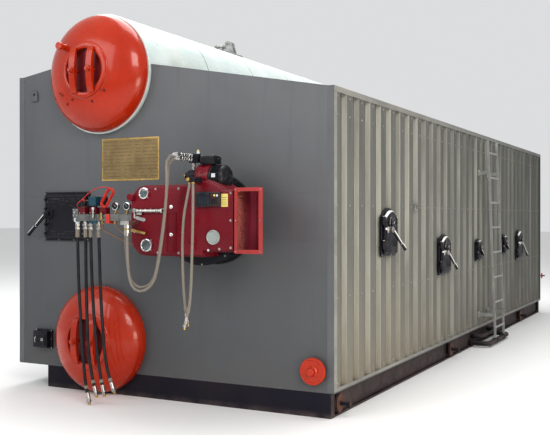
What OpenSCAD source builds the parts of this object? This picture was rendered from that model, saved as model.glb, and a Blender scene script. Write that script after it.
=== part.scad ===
// Packaged two-drum water-tube steam boiler with an oil and gas burner.
// Origin on the floor at the centre of the casing, +X to the furnace side, front wall faces -Y.

/* [Casing] */
// Width of the insulated casing
casing_w = 3130; // [2900:10:3400]
// Length of the casing
casing_l = 8250; // [8250:50:9000]
// Height of the steel skid under the casing
base_h = 190; // [160:5:220]
// Height of the eave on the furnace side
right_eave_z = 2510; // [2480:10:2600]
// Height of the eave on the drum side
left_eave_z = 2790; // [2700:10:2850]
// Height of the ridge
ridge_z = 2920; // [2880:10:3000]
// Distance of the ridge from the drum side
ridge_offset = 825; // [750:5:900]
// Thickness of the insulated walls
wall_t = 120; // [90:5:150]
// Thickness of the roof slabs
roof_t = 90; // [60:5:120]
// Thickness of the floor plates
floor_t = 10; // [6:1:20]
// Joint between neighbouring slabs
joint = 0.5; // [0.3:0.1:1]

/* [Cladding] */
// Pitch of the ribs
rib_pitch = 250; // [200:10:300]
// Depth of the ribs
rib_depth = 35; // [20:1:45]
// Width of a rib crest
rib_crest = 120; // [90:5:140]
// Width of a rib slope
rib_slope = 20; // [12:1:28]
// Thickness of the sheet
sheet_t = 3; // [2:0.5:4]
// Thickness of the corner and edge trims
trim_t = 2; // [1.5:0.5:4]
// Width of the corner trims
trim_w = 55; // [40:5:80]
// Height of the eave cap
cap_h = 42; // [30:1:60]
// Height of the drip strip
drip_h = 26; // [18:1:40]

/* [Skid] */
// Inset of the skid on the drum side
skid_left_inset = 336; // [250:2:400]
// Inset of the skid on the furnace side
skid_right_inset = 25; // [15:1:60]
// Depth of the channel recess along the skid
channel_depth = 34; // [20:1:50]
// Thickness of the channel flanges
channel_flange = 16; // [10:1:24]
// Radius of the trunnion plates
trunnion_r = 72; // [55:1:74]
// Length of the trunnion pins
trunnion_pin = 95; // [60:5:110]

/* [Drums] */
// Distance of the drum axes from the drum side
drum_offset = 950; // [930:5:970]
// Height of the steam drum axis
steam_z = 2754; // [2740:2:2780]
// Radius of the steam drum
steam_r = 502; // [490:1:515]
// Distance of the jacket from the steam drum
jacket_gap = 12; // [8:1:20]
// Radius of the water drum
water_r = 455; // [440:1:460]
// Distance of the water drum from the floor
water_gap = 15; // [10:1:25]
// Thickness of the drum plates
drum_t = 18; // [12:1:26]
// How far a drum end stands out of the wall
drum_proud = 50; // [35:1:70]
// Depth of a dished head as a share of its radius
dish_ratio = 0.42; // [0.38:0.01:0.5]
// Radius of the manway ring
manway_r = 232; // [220:1:240]
// Height of the manway ring over the head
ring_rise = 12; // [8:1:24]
// Radius of the manway opening
manway_hole_r = 186; // [170:1:195]
// Thickness of the manway cover
cover_t = 20; // [14:1:26]

/* [Doors] */
// Width of a large furnace door frame
door_w = 360; // [340:5:400]
// Height of a large furnace door frame
door_h = 415; // [400:5:440]
// Width of a small furnace door frame
port_w = 208; // [200:4:216]
// Height of a small furnace door frame
port_h = 260; // [250:5:280]
// Width of the front access door frame
access_w = 500; // [480:5:520]
// Height of the front access door frame
access_h = 430; // [410:5:450]
// Height of the middle of the front access door
access_z = 1525; // [1500:5:1550]
// Distance of the front access door from the drum side
access_offset = 564; // [550:2:580]
// Width of a frame's face
frame_face = 50; // [44:1:60]
// Thickness of a frame
frame_t = 20; // [18:1:26]
// Thickness of the throat plates behind a frame
throat_t = 15; // [10:1:20]
// Thickness of a door leaf
leaf_t = 22; // [20:1:30]
// Gap between a leaf and its frame
leaf_gap = 5; // [5:0.5:8]
// How far a frame reaches past its leaf
leaf_inset = 20; // [14:1:24]
// Radius of the hinge pins
pin_r = 9; // [7:0.5:11]
// Running clearance at the hinge pins
pin_gap = 0.3; // [0.2:0.05:0.5]

/* [Ladder] */
// Width of the ladder
ladder_w = 440; // [380:10:480]
// Spacing of the rungs
rung_pitch = 296; // [280:1:300]
// Radius of a rung
rung_r = 12; // [10:0.5:16]
// Distance of the ladder from the cladding at its top
ladder_top_gap = 110; // [90:5:140]
// Distance of the ladder from the cladding at its foot
ladder_foot_gap = 200; // [160:5:240]

/* [Burner] */
// Distance of the burner axis from the furnace side
burner_offset = 1005; // [990:5:1020]
// Height of the burner axis
burner_z = 1535; // [1535:5:1550]
// Radius of the burner's wall plate
plate_r = 330; // [310:5:345]
// Radius of the blast tube
tube_r = 205; // [190:5:220]
// Depth of the burner housing in front of the fan
housing_d = 240; // [225:5:250]
// Depth of the fan casing
fan_d = 230; // [210:5:240]

/* [Hidden] */
$fn = 48;

half_w = casing_w / 2;
half_l = casing_l / 2;
floor_z = base_h + floor_t;
drum_x = -half_w + drum_offset;
ridge_x = -half_w + ridge_offset;
burner_x = half_w - burner_offset;
jacket_r = steam_r + jacket_gap;
water_z = water_r + water_gap;
slab_out = rib_depth + sheet_t + 0.3;
slab_in = slab_out + wall_t;
wall_x = half_w - slab_out;
skid_left = -half_w + skid_left_inset;
skid_right = half_w - skid_right_inset;
drum_front_y = -half_l - drum_proud;
drum_rear_y = half_l + drum_proud;

orange = [0.78, 0.22, 0.10];
crimson = [0.52, 0.07, 0.12];
grey = [0.36, 0.37, 0.39];
sheet = [0.55, 0.55, 0.52];
black = [0.10, 0.10, 0.13];
steel = [0.62, 0.62, 0.62];
hose_black = [0.07, 0.07, 0.08];
braid = [0.60, 0.54, 0.45];

// Each furnace door: distance from the front wall and height of its middle
big_doors = [[1149, 1390], [2831, 1132], [6537, 1127]];
ports = [[4253, 1132], [5615, 1160]];
big_rise = 80;
port_rise = 52;

// Places a door's own frame on the furnace side: x along the wall, y up, z outwards
module on_right_wall(s, z) {
  translate([half_w, -half_l + s, z]) rotate([90, 0, 90]) children();
}

// Places a piece on the front wall: x to the right, y up, z outwards
module on_front_wall(x, z) {
  translate([x, -half_l, z]) rotate([90, 0, 0]) children();
}

module on_rear_wall(x, z) {
  translate([x, half_l, z]) rotate([90, 0, 180]) children();
}

// Round bar between two levels along z
module rod(r, z0, z1) {
  translate([0, 0, z0]) cylinder(r = r, h = z1 - z0);
}

// Box from one corner to the other
module block(a, b) {
  translate(a) cube(b - a);
}

module gable_outline(z0, z1) {
  intersection() {
    polygon([[-wall_x, floor_z], [wall_x, floor_z], [wall_x, right_eave_z],
      [ridge_x, ridge_z], [-wall_x, left_eave_z]]);
    translate([-half_w, z0]) square([casing_w, z1 - z0]);
  }
}

// Skid

module drum_bore(z, r) {
  translate([drum_x, drum_front_y - 1, z]) rotate([-90, 0, 0])
    cylinder(r = r, h = drum_rear_y - drum_front_y + 2, $fn = 96);
}

channel_end = 70;

module skid_base() {
  color(black) difference() {
    block([skid_left, -half_l, 0], [skid_right, half_l, base_h]);
    drum_bore(water_z, water_r + joint);
    for (x = [skid_left - 1, skid_right - channel_depth])
      block([x, -half_l + channel_end, channel_flange],
        [x + channel_depth + 1, half_l - channel_end, base_h - channel_flange]);
  }
}

trunnion_z = base_h / 2;
trunnion_s = [150, 3200, 6800];

module trunnion() {
  rod(trunnion_r, 0, 14);
  rod(17, 14, trunnion_pin);
}

module base_trunnions() {
  color([0.25, 0.20, 0.18]) for (s = trunnion_s) {
    block([skid_right - channel_depth, s - half_l - 30, trunnion_z - 50],
      [skid_right, s - half_l + 30, trunnion_z + 50]);
    translate([skid_right, s - half_l, trunnion_z]) rotate([0, 90, 0]) trunnion();
    block([skid_left, s - half_l - 30, trunnion_z - 50],
      [skid_left + channel_depth, s - half_l + 30, trunnion_z + 50]);
    translate([skid_left, s - half_l, trunnion_z]) rotate([0, -90, 0]) trunnion();
  }
}

module floor_plates() {
  color(grey) difference() {
    block([-half_w, -half_l, base_h], [half_w, half_l, floor_z]);
    drum_bore(water_z, water_r + joint);
  }
}

// Walls

access_x = -half_w + access_offset;
access_open_w = access_w - 2 * frame_face;
access_open_h = access_h - 2 * frame_face;
hole_margin = throat_t + joint;

module front_wall() {
  low = access_z - access_open_h / 2 - hole_margin;
  high = access_z + access_open_h / 2 + hole_margin;
  left = access_x - access_open_w / 2 - hole_margin;
  right = access_x + access_open_w / 2 + hole_margin;
  bands = [[floor_z, low - joint], [low, high], [high + joint, ridge_z]];
  color(grey) for (band = bands) translate([0, -half_l + wall_t, 0]) rotate([90, 0, 0])
    linear_extrude(wall_t) difference() {
      gable_outline(band[0], band[1]);
      translate([drum_x, steam_z]) circle(r = jacket_r + joint, $fn = 96);
      translate([drum_x, water_z]) circle(r = water_r + joint, $fn = 96);
      translate([burner_x, burner_z]) circle(r = tube_r + joint, $fn = 64);
      translate([header_x, header_z]) circle(r = header_neck_r + joint);
      translate([left, low - joint]) square([right - left, high - low + 2 * joint]);
    }
}

flue_z = 1600;
flue_w = 560;
flue_h = 480;
flue_plate_t = 8;
flue_flange_w = 60;
flue_out = 130;

module rear_wall() {
  low = flue_z - flue_h / 2 - flue_plate_t - joint;
  high = flue_z + flue_h / 2 + flue_plate_t + joint;
  bands = [[floor_z, low - joint], [low, high], [high + joint, ridge_z]];
  half_cut = flue_w / 2 + flue_plate_t + joint;
  color(grey) for (band = bands) translate([0, half_l, 0]) rotate([90, 0, 0])
    linear_extrude(wall_t) difference() {
      gable_outline(band[0], band[1]);
      translate([drum_x, steam_z]) circle(r = jacket_r + joint, $fn = 96);
      translate([drum_x, water_z]) circle(r = water_r + joint, $fn = 96);
      translate([drum_x - half_cut, low - joint]) square([2 * half_cut, high - low + 2 * joint]);
    }
}

wall_y0 = -half_l + wall_t + joint;
wall_y1 = half_l - wall_t - joint;
function open_w(w) = w - 2 * frame_face;
function open_h(h) = h - 2 * frame_face;

// Every furnace opening from front to rear: middle along y, middle height, width and height
openings = [for (d = [[big_doors[0], door_w, door_h], [big_doors[1], door_w, door_h],
  [ports[0], port_w, port_h], [ports[1], port_w, port_h], [big_doors[2], door_w, door_h]])
  [d[0][0] - half_l, d[0][1], open_w(d[1]) + 2 * hole_margin, open_h(d[2]) + 2 * hole_margin]];
slab_top = right_eave_z - roof_t - 30;

module wall_slab(y0, y1, z0, z1) {
  block([half_w - slab_in, y0, z0], [wall_x, y1, z1]);
}

module right_wall() {
  last = len(openings) - 1;
  color(grey) {
    for (i = [0:last + 1])
      wall_slab(i == 0 ? wall_y0 : openings[i - 1][0] + openings[i - 1][2] / 2 + joint,
        i > last ? wall_y1 : openings[i][0] - openings[i][2] / 2 - joint, floor_z, slab_top);
    for (o = openings) {
      wall_slab(o[0] - o[2] / 2, o[0] + o[2] / 2, floor_z, o[1] - o[3] / 2);
      wall_slab(o[0] - o[2] / 2, o[0] + o[2] / 2, o[1] + o[3] / 2, slab_top);
    }
  }
}

module left_wall() {
  color(grey) block([-wall_x, wall_y0, floor_z],
    [-half_w + slab_in, wall_y1, left_eave_z - roof_t - 30]);
}

module roof_outline(margin) {
  polygon([[wall_x, right_eave_z], [ridge_x, ridge_z], [-wall_x, left_eave_z],
    [-wall_x, left_eave_z - margin], [ridge_x, ridge_z - margin],
    [wall_x, right_eave_z - margin]]);
}

module roof_panels() {
  color(grey) translate([0, wall_y1, 0]) rotate([90, 0, 0])
    linear_extrude(wall_y1 - wall_y0) difference() {
      roof_outline(roof_t);
      translate([drum_x, steam_z]) circle(r = jacket_r + joint, $fn = 96);
    }
}

// Corrugated sheet in plan: a run of trapezoid ribs from the front to the rear
ribs = round(casing_l / rib_pitch);
fit_pitch = casing_l / ribs;
function rib_line(offset) = concat([for (i = [0:ribs - 1], p = [[0, 0], [rib_crest, 0],
  [rib_crest + rib_slope, -rib_depth], [fit_pitch - rib_slope, -rib_depth]])
  [p[1] - offset, i * fit_pitch + p[0] - half_l]], [[-offset, half_l]]);
function reversed(list) = [for (i = [len(list) - 1:-1:0]) list[i]];

module corrugated_sheet(height) {
  linear_extrude(height) polygon(concat(rib_line(0), reversed(rib_line(sheet_t))));
}

module side_cladding() {
  color(sheet) {
    difference() {
      translate([half_w, 0, floor_z]) corrugated_sheet(right_eave_z - floor_z);
      for (o = openings)
        block([wall_x, o[0] - o[2] / 2, o[1] - o[3] / 2],
          [half_w + 1, o[0] + o[2] / 2, o[1] + o[3] / 2]);
    }
    translate([-half_w, 0, floor_z]) mirror([1, 0, 0]) corrugated_sheet(left_eave_z - floor_z);
  }
}

// Angle trim over a corner: one leg on the end wall, one over the first rib
module corner_trim(height) {
  block([-trim_w, -trim_t, 0], [trim_t, 0, height]);
  block([0, 0, 0], [trim_t, trim_w, height]);
}

module eave_trim() {
  block([0, -half_l, -cap_h], [trim_t, half_l, trim_t]);
  block([-slab_out, -half_l, 0], [0, half_l, trim_t]);
}

module casing_trims() {
  color(grey) for (side = [1, -1], end = [1, -1]) {
    eave = side > 0 ? right_eave_z : left_eave_z;
    translate([side * half_w, -end * half_l, floor_z + drip_h])
      mirror([side > 0 ? 0 : 1, 0, 0]) mirror([0, end > 0 ? 0 : 1, 0])
      corner_trim(eave - floor_z - drip_h - cap_h);
  }
  color(steel) for (side = [1, -1]) mirror([side > 0 ? 0 : 1, 0, 0]) {
    translate([half_w, 0, side > 0 ? right_eave_z : left_eave_z]) eave_trim();
    block([half_w, -half_l, floor_z], [half_w + trim_t, half_l, floor_z + drip_h]);
  }
}

// Drums

module drum_shell(z, r) {
  translate([drum_x, drum_front_y, z]) rotate([-90, 0, 0]) difference() {
    cylinder(r = r, h = drum_rear_y - drum_front_y, $fn = 96);
    translate([0, 0, -1])
      cylinder(r = r - drum_t, h = drum_rear_y - drum_front_y + 2, $fn = 96);
  }
}

module steam_drum() {
  color(orange) drum_shell(steam_z, steam_r);
}

module water_drum() {
  color(orange) drum_shell(water_z, water_r);
}

jacket_inset = 18;

module drum_jacket() {
  color(steel) translate([drum_x, drum_front_y + jacket_inset, steam_z]) rotate([-90, 0, 0])
    difference() {
      cylinder(r = jacket_r, h = drum_rear_y - drum_front_y - 2 * jacket_inset, $fn = 96);
      translate([0, 0, -1]) cylinder(r = steam_r + pin_gap,
        h = drum_rear_y - drum_front_y - 2 * jacket_inset + 2, $fn = 96);
    }
}

// Half of an elliptical section, from the rim to the radius of the hole
dish_steps = 18;
function dish_point(a, b, angle) = [a * cos(angle), b * sin(angle)];
function dish_line(a, b, hole) = let (last = acos(hole / a))
  [for (i = [0:dish_steps]) dish_point(a, b, last * i / dish_steps)];

module dished_head(r) {
  depth = r * dish_ratio;
  rotate_extrude($fn = 96) polygon(concat(dish_line(r, depth, manway_hole_r),
    reversed(dish_line(r - drum_t, depth - drum_t, manway_hole_r))));
}

function dish_height(r, at) = r * dish_ratio * sqrt(1 - pow(at / r, 2));

function ring_top(r) = dish_height(r, manway_hole_r) + ring_rise;

module manway_ring(r) {
  top = ring_top(r);
  difference() {
    rod(manway_r, dish_height(r, manway_r) - drum_t, top, $fn = 96);
    rod(manway_hole_r, 0, top + 1, $fn = 96);
  }
}

module head_with_manway(r) {
  difference() {
    dished_head(r);
    rod(manway_r, dish_height(r, manway_r) - drum_t, r, $fn = 96);
  }
  manway_ring(r);
}

stub_r = 33;
stub_at = [-228, 218];
stub_foot = 130;
stub_top = 256;

module steam_drum_front_head() {
  color(orange) translate([drum_x, drum_front_y, steam_z]) rotate([90, 0, 0]) {
    head_with_manway(steam_r);
    translate([stub_at[0], stub_at[1], 0]) rod(stub_r, stub_foot, stub_top);
  }
}

module water_drum_front_head() {
  color(orange) translate([drum_x, drum_front_y, water_z]) rotate([90, 0, 0])
    head_with_manway(water_r);
}

module drum_rear_heads() {
  color(orange) for (d = [[steam_z, steam_r], [water_z, water_r]])
    translate([drum_x, drum_rear_y, d[0]]) rotate([90, 0, 180]) head_with_manway(d[1]);
}

yoke_w = 60;
yoke_x = 90;
yoke_span = 190;
yoke_rise = 46;
cover_sink = 44;
stud_r = 16;

// Arched bar that spans the ring and holds the cover by its stud
module yoke(base, rise) {
  rotate([90, 0, 90]) translate([0, base, -yoke_w / 2]) linear_extrude(yoke_w)
    polygon([[-yoke_span, 0], [yoke_span, 0], [yoke_span, rise * 0.3], [yoke_span * 0.8, rise * 0.6],
      [yoke_span * 0.4, rise], [-yoke_span * 0.4, rise], [-yoke_span * 0.8, rise * 0.6],
      [-yoke_span, rise * 0.3]]);
}

module manway_cover(r) {
  top = ring_top(r);
  nut_foot = top + yoke_rise - 2;
  rod(manway_hole_r - pin_gap, top - cover_sink - cover_t, top - cover_sink, $fn = 96);
  for (side = [1, -1]) translate([side * yoke_x, 0, 0]) {
    yoke(top + pin_gap, yoke_rise);
    rod(stud_r, top - cover_sink, nut_foot + 34);
    rod(27, nut_foot, nut_foot + 18, $fn = 6);
  }
}

module front_manways() {
  color(orange) for (d = [[steam_z, steam_r], [water_z, water_r]])
    translate([drum_x, drum_front_y, d[0]]) rotate([90, 0, 0]) manway_cover(d[1]);
}

module rear_manways() {
  color(orange) for (d = [[steam_z, steam_r], [water_z, water_r]])
    translate([drum_x, drum_rear_y, d[0]]) rotate([90, 0, 180]) manway_cover(d[1]);
}

fitting_s = 2080;
saddle_half = 110;
saddle_y = [-170, 190];
saddle_t = 12;
ear_ys = [70, 130];
ear_t = 16;

// Lifting bracket with two ears and a capped nozzle on top of the steam drum
module drum_top_fitting() {
  color(steel) translate([drum_x, fitting_s - half_l, steam_z + jacket_r]) {
    difference() {
      block([-saddle_half, saddle_y[0], -40], [saddle_half, saddle_y[1], saddle_t]);
      translate([0, saddle_y[0] - 1, -jacket_r]) rotate([-90, 0, 0])
        cylinder(r = jacket_r + pin_gap, h = saddle_y[1] - saddle_y[0] + 2, $fn = 96);
    }
    for (y = ear_ys) translate([0, y, saddle_t]) rotate([90, 0, 0]) linear_extrude(ear_t)
      difference() {
        polygon([[-75, 0], [75, 0], [28, 150], [-28, 150]]);
        translate([0, 105]) circle(r = 18);
      }
    translate([0, -100, 0]) {
      rod(38, saddle_t, 56);
      rod(62, 56, 76);
    }
  }
}

// Pipework at the walls

header_x = half_w - 158;
header_z = 354;
header_neck_r = 57;
cap_r = 104;
cap_t = 22;
cap_out = 30;
cap_boss_r = 28;
cap_boss_out = 45;

// Round cap of the header's handhole, with the boss of its clamping bolt
module header_flange() {
  color(orange) on_front_wall(header_x, header_z) {
    rod(header_neck_r, -wall_t, cap_out);
    rod(cap_r, cap_out, cap_out + cap_t, $fn = 96);
    rod(cap_boss_r, cap_out + cap_t, cap_out + cap_t + cap_boss_out);
  }
}

cleanout_x = -half_w + 303;
cleanout_z = 428;

module cleanout_box() {
  color(black) on_front_wall(cleanout_x, cleanout_z) {
    block([-92, -84, 0], [92, 84, 18]);
    block([-80, -72, 18], [80, 72, 72]);
    block([-62, -54, 72], [62, 54, 80]);
    for (y = [-42, 42]) translate([-98, y, 30]) rotate([90, 0, 0]) rod(9, -20, 20);
    for (y = [-42, 42]) block([-98, y - 8, 22], [-78, y + 8, 38]);
  }
}

// Rectangular duct end with a bolted flange; its four corner holes are the interface
flue_hole_r = 9;
flue_hole_x = flue_w / 2 + flue_plate_t + flue_flange_w / 2;
flue_hole_z = flue_h / 2 + flue_plate_t + flue_flange_w / 2;

module flue_collar() {
  color(grey) on_rear_wall(drum_x, flue_z) difference() {
    union() {
      block([-flue_w / 2 - flue_plate_t, -flue_h / 2 - flue_plate_t, -wall_t],
        [flue_w / 2 + flue_plate_t, flue_h / 2 + flue_plate_t, flue_out]);
      block([-flue_w / 2 - flue_plate_t - flue_flange_w, -flue_h / 2 - flue_plate_t - flue_flange_w,
        flue_out - 10], [flue_w / 2 + flue_plate_t + flue_flange_w,
        flue_h / 2 + flue_plate_t + flue_flange_w, flue_out]);
    }
    block([-flue_w / 2, -flue_h / 2, -wall_t - 1], [flue_w / 2, flue_h / 2, flue_out + wall_t + 1]);
    for (x = [-flue_hole_x, flue_hole_x], z = [-flue_hole_z, flue_hole_z])
      translate([x, z, 0]) rod(flue_hole_r, flue_out - 11, flue_out + 1);
  }
}

// Burner, in the front wall's frame around the burner axis

plate_t = 24;
fan_p0 = plate_t;
fan_p1 = fan_p0 + fan_d;
housing_p1 = fan_p1 + housing_d;
fan_x = 150;
fan_z = -8;
fan_r = 275;
nose_left = -515;
nose_low = -315;
nose_high = 232;
nose_corner = 130;
cover_step = 14;
cover_d = 30;

module burner_flange() {
  color(black) on_front_wall(burner_x, burner_z) {
    difference() {
      rod(plate_r, 0, plate_t, $fn = 96);
      rod(tube_r - 12, -1, plate_t - 8, $fn = 64);
    }
    difference() {
      rod(tube_r, -wall_t - 60, 0, $fn = 64);
      rod(tube_r - 12, -wall_t - 61, 1, $fn = 64);
    }
  }
}

// Snail shell of the fan: its radius grows over the first part of the turn, then holds,
// and falls a little towards the outlet
scroll_at = [-8, -28];
scroll_r = 255;
scroll_growth = 110;
scroll_fall = 60;
scroll_start = 100;
scroll_rise_end = 230;
scroll_fall_start = 380;
scroll_step = 9;
function share(a, from, to) = min(1, max(0, (a - from) / (to - from)));
function scroll_radius(a) = scroll_r + scroll_growth * share(a, scroll_start, scroll_rise_end)
  - scroll_fall * share(a, scroll_fall_start, scroll_start + 360);

module scroll_outline(inset, seam = 0) {
  first = scroll_start - seam;
  translate(scroll_at) polygon([for (a = [first:scroll_step:first + 360])
    (scroll_radius(a) - inset) * [cos(a), sin(a)]]);
}

rim_step = 16;
rim_t = 14;
rim_seam = 4;

module fan_volute() {
  color(black) on_front_wall(burner_x, burner_z) translate([0, 0, fan_p0]) {
    translate([0, 0, rim_t]) linear_extrude(fan_d - 2 * rim_t)
      scroll_outline(rim_step, rim_seam);
    for (z = [0, fan_d - rim_t]) translate([0, 0, z]) linear_extrude(rim_t) scroll_outline(0);
  }
}

// Front view of the housing: a box with round corners that runs into the round fan cover
module housing_outline(inset) {
  corner = nose_corner - inset;
  for (z = [nose_low + nose_corner, nose_high - nose_corner])
    translate([nose_left + nose_corner, z]) circle(r = corner, $fn = 64);
  translate([nose_left + inset, nose_low + nose_corner])
    square([nose_corner, nose_high - nose_low - 2 * nose_corner]);
  translate([nose_left + nose_corner, nose_low + inset])
    square([fan_x - nose_left - nose_corner, nose_high - nose_low - 2 * inset]);
  translate([fan_x, fan_z]) circle(r = fan_r - inset, $fn = 96);
  translate([fan_x, box_z + inset]) square([box_x - fan_x - inset, box_h - 2 * inset]);
}

motor_r = 98;
motor_x = 175;
motor_l = 110;
cowl_l = 20;
motor_z = 282;
motor_p = fan_p1 + 108;
bell_x = 60;
bell_r = motor_r + 7;

module along_x(x0, x1, r, z = motor_z, p = motor_p) {
  translate([0, z, p]) rotate([0, 90, 0]) rod(r, x0, x1, $fn = 64);
}

module burner_housing() {
  color(crimson) on_front_wall(burner_x, burner_z) {
    difference() {
      union() {
        translate([0, 0, fan_p1]) linear_extrude(housing_d - cover_d) housing_outline(0);
        translate([0, 0, housing_p1 - cover_d]) linear_extrude(cover_d)
          housing_outline(cover_step);
        along_x(bell_x, motor_x, bell_r);
        block([bell_x, 150, fan_p1], [motor_x, motor_z, motor_p + bell_step]);
      }
      along_x(motor_x, motor_x + motor_l + cowl_l + joint, motor_r + joint);
    }
    translate([0, 0, plate_t]) linear_extrude(fan_d) difference() {
      intersection() {
        housing_outline(20);
        translate([nose_left, nose_low]) square([fan_x - nose_left, nose_high - nose_low]);
      }
      scroll_outline(-3);
    }
  }
}

// Suction box: deep at the fan, tapering to nothing on its outer side
box_w = 224;
box_h = 462;
box_d = 240;
box_t = 6;
box_lip = 20;
box_flange = 24;
box_deep = 60;
box_x = 430;
box_z = -272;

module suction_wedge(inset, y0, y1) {
  translate([0, y1, 0]) rotate([90, 0, 0]) linear_extrude(y1 - y0)
    polygon([[inset, inset], [box_deep - inset / 2, inset],
      [box_w - inset, box_d - box_flange], [box_w - inset, box_d], [inset, box_d]]);
}

module air_intake_box() {
  color([0.75, 0.18, 0.16]) on_front_wall(burner_x, burner_z)
    translate([box_x, box_z, fan_p1 + 6]) difference() {
      union() {
        suction_wedge(0, 0, box_h);
        block([0, -box_lip / 2, box_d - 8], [box_w + 8, box_h + box_lip / 2, box_d]);
      }
      suction_wedge(box_t, box_t, box_h - box_t);
      block([box_t, box_t, box_d - box_flange], [box_w - box_t, box_h - box_t, box_d + 1]);
    }
}

module blower_motor() {
  color(black) on_front_wall(burner_x, burner_z) {
    along_x(motor_x, motor_x + motor_l, motor_r);
    along_x(motor_x + motor_l, motor_x + motor_l + cowl_l, motor_r - 12);
    difference() {
      block([motor_x - 95, motor_z + 78, motor_p - 60], [motor_x + 30, motor_z + 168, motor_p + 60]);
      along_x(bell_x - 1, motor_x + 1, bell_r + pin_gap);
    }
  }
}

pump_z = 300;
pump_p = motor_p + 10;
pump_x = 0;
loop_p = 590;
loop_step = 26;
arm_half = 14;
cluster_x = -10;
loop_z = [423, 451];
tail_z = 240;
bell_step = 70;

module oil_pump() {
  color(black) on_front_wall(burner_x, burner_z) {
    along_x(pump_x - 40, bell_x, 46, pump_z, pump_p);
    along_x(pump_x - 66, pump_x - 40, 30, pump_z, pump_p);
    translate([pump_x, pump_z + 40, pump_p]) rotate([-90, 0, 0]) rod(13, 0, 60);
    block([pump_x - 26, pump_z + 100, pump_p - 20], [cluster_x + 60, pump_z + 166, pump_p + 30]);
    for (i = [0, 1])
      block([cluster_x, loop_z[i] - arm_half, pump_p + 30],
        [cluster_x + 32, loop_z[i] + arm_half, loop_p + loop_step * i + arm_half]);
    block([pump_x + 90, tail_z, housing_p1], [pump_x + 150, tail_z + 40, loop_p + arm_half]);
  }
}

module control_box() {
  color([0.15, 0.17, 0.20]) on_front_wall(burner_x, burner_z) {
    block([110, 60, housing_p1], [320, 172, housing_p1 + 26]);
    translate([250, -165, housing_p1]) rod(55, 0, 18);
  }
}

sight_at = [[-373, 168, 46], [-349, -232, 52]];

module sight_glasses() {
  color(steel) on_front_wall(burner_x, burner_z) for (g = sight_at)
    translate([g[0], g[1], housing_p1]) {
      difference() {
        rod(g[2], 0, 20, $fn = 64);
        rod(g[2] - 12, 12, 21, $fn = 64);
      }
    }
}

// Oil manifold beside the burner

bar_z = -20;
bar_x0 = -1100;
bar_x1 = nose_left;
bar_p = housing_p1 - 50;
bar_half = 28;
hose_x = [-1075, -992, -939, -857];
nut_r = 21;
nut_drop = 92;
union_x = [-480, -446];
union_z = -60;

module oil_manifold() {
  color(steel) on_front_wall(burner_x, burner_z) {
    block([bar_x0, bar_z - bar_half, bar_p - bar_half], [bar_x1, bar_z + bar_half, bar_p + bar_half]);
    for (x = hose_x) translate([x, bar_z - bar_half, bar_p]) rotate([90, 0, 0]) {
      rod(16, 0, nut_drop - 32);
      rod(nut_r, nut_drop - 32, nut_drop, $fn = 6);
    }
    block([union_x[0] - 24, union_z - 16, housing_p1], [union_x[1] + 24, union_z + 16, loop_p + 40]);
    for (i = [0, 1]) translate([union_x[i], union_z - 16, loop_p + loop_step * i])
      rotate([90, 0, 0]) rod(15, 0, 80 + 4 * i, $fn = 6);
  }
}

valve_xs = [-1010, -900, -800];
valve_half = 28;
valve_h = 66;
coil_h = 74;
coil_r = 26;

module oil_valves() {
  color([0.40, 0.08, 0.10]) on_front_wall(burner_x, burner_z)
    for (x = valve_xs) {
      block([x - 32, bar_z + bar_half, bar_p - valve_half],
        [x + 32, bar_z + bar_half + valve_h, bar_p + valve_half]);
      translate([x, bar_z + bar_half + valve_h, bar_p]) rotate([-90, 0, 0]) rod(coil_r, 0, coil_h);
    }
}

gauge_xs = [-688, -575];

module pressure_gauges() {
  color(steel) on_front_wall(burner_x, burner_z)
    for (x = gauge_xs) translate([x, bar_z + bar_half, bar_p]) {
      rotate([-90, 0, 0]) rod(8, 0, 34);
      translate([0, 62, -14]) rod(32, 0, 28);
    }
}

// Ladder

ladder_s = 4540;
rungs = 8;
rung_z0 = 210;
ladder_top_z = rung_z0 + rung_pitch * (rungs - 1) + 150;
ladder_foot_z = 90;
rail_w = 12;
bracket_t = 8;
rail_d = 28;
function ladder_gap(z) = ladder_foot_gap + (ladder_top_gap - ladder_foot_gap)
  * (z - ladder_foot_z) / (ladder_top_z - ladder_foot_z);
lean = atan((ladder_foot_gap - ladder_top_gap) / (ladder_top_z - ladder_foot_z));

module ladder() {
  color(steel) {
    for (side = [-1, 1]) {
      translate([half_w + ladder_foot_gap, ladder_s - half_l + side * ladder_w / 2,
        ladder_foot_z]) rotate([0, -lean, 0])
        block([-rail_d / 2, -rail_w / 2, 0], [rail_d / 2, rail_w / 2,
          (ladder_top_z - ladder_foot_z) / cos(lean)]);
      for (z = [rung_z0 + rung_pitch * 0.5, rung_z0 + rung_pitch * 6.2])
        translate([half_w, ladder_s - half_l + side * ladder_w / 2, z])
          block([0, -bracket_t / 2, -20], [ladder_gap(z), bracket_t / 2, 20]);
    }
    for (i = [0:rungs - 1]) let (z = rung_z0 + rung_pitch * i)
      translate([half_w + ladder_gap(z), ladder_s - half_l, z]) rotate([90, 0, 0])
        rod(rung_r, -ladder_w / 2, ladder_w / 2, $fn = 24);
  }
}

// Two drain pipes that leave the skid, run along it and return

bend_r = 75;

// Flat U of pipe: out of the skid, along y, and back
module pipe_loop(r, y0, y1, out) {
  for (y = [y0, y1]) translate([0, y, 0]) rotate([0, 90, 0]) cylinder(r = r, h = out - bend_r);
  translate([out, y0 + bend_r, 0]) rotate([-90, 0, 0]) cylinder(r = r, h = y1 - y0 - 2 * bend_r);
  translate([out - bend_r, y0 + bend_r, 0]) rotate([0, 0, -90])
    rotate_extrude(angle = 90, $fn = 48) translate([bend_r, 0]) circle(r = r, $fn = 24);
  translate([out - bend_r, y1 - bend_r, 0])
    rotate_extrude(angle = 90, $fn = 48) translate([bend_r, 0]) circle(r = r, $fn = 24);
}

// Height, radius, both ends along y and reach of each loop
drain_loops = [[46, 27, -40, 960, 235], [112, 24, 60, 840, 130]];

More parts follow.
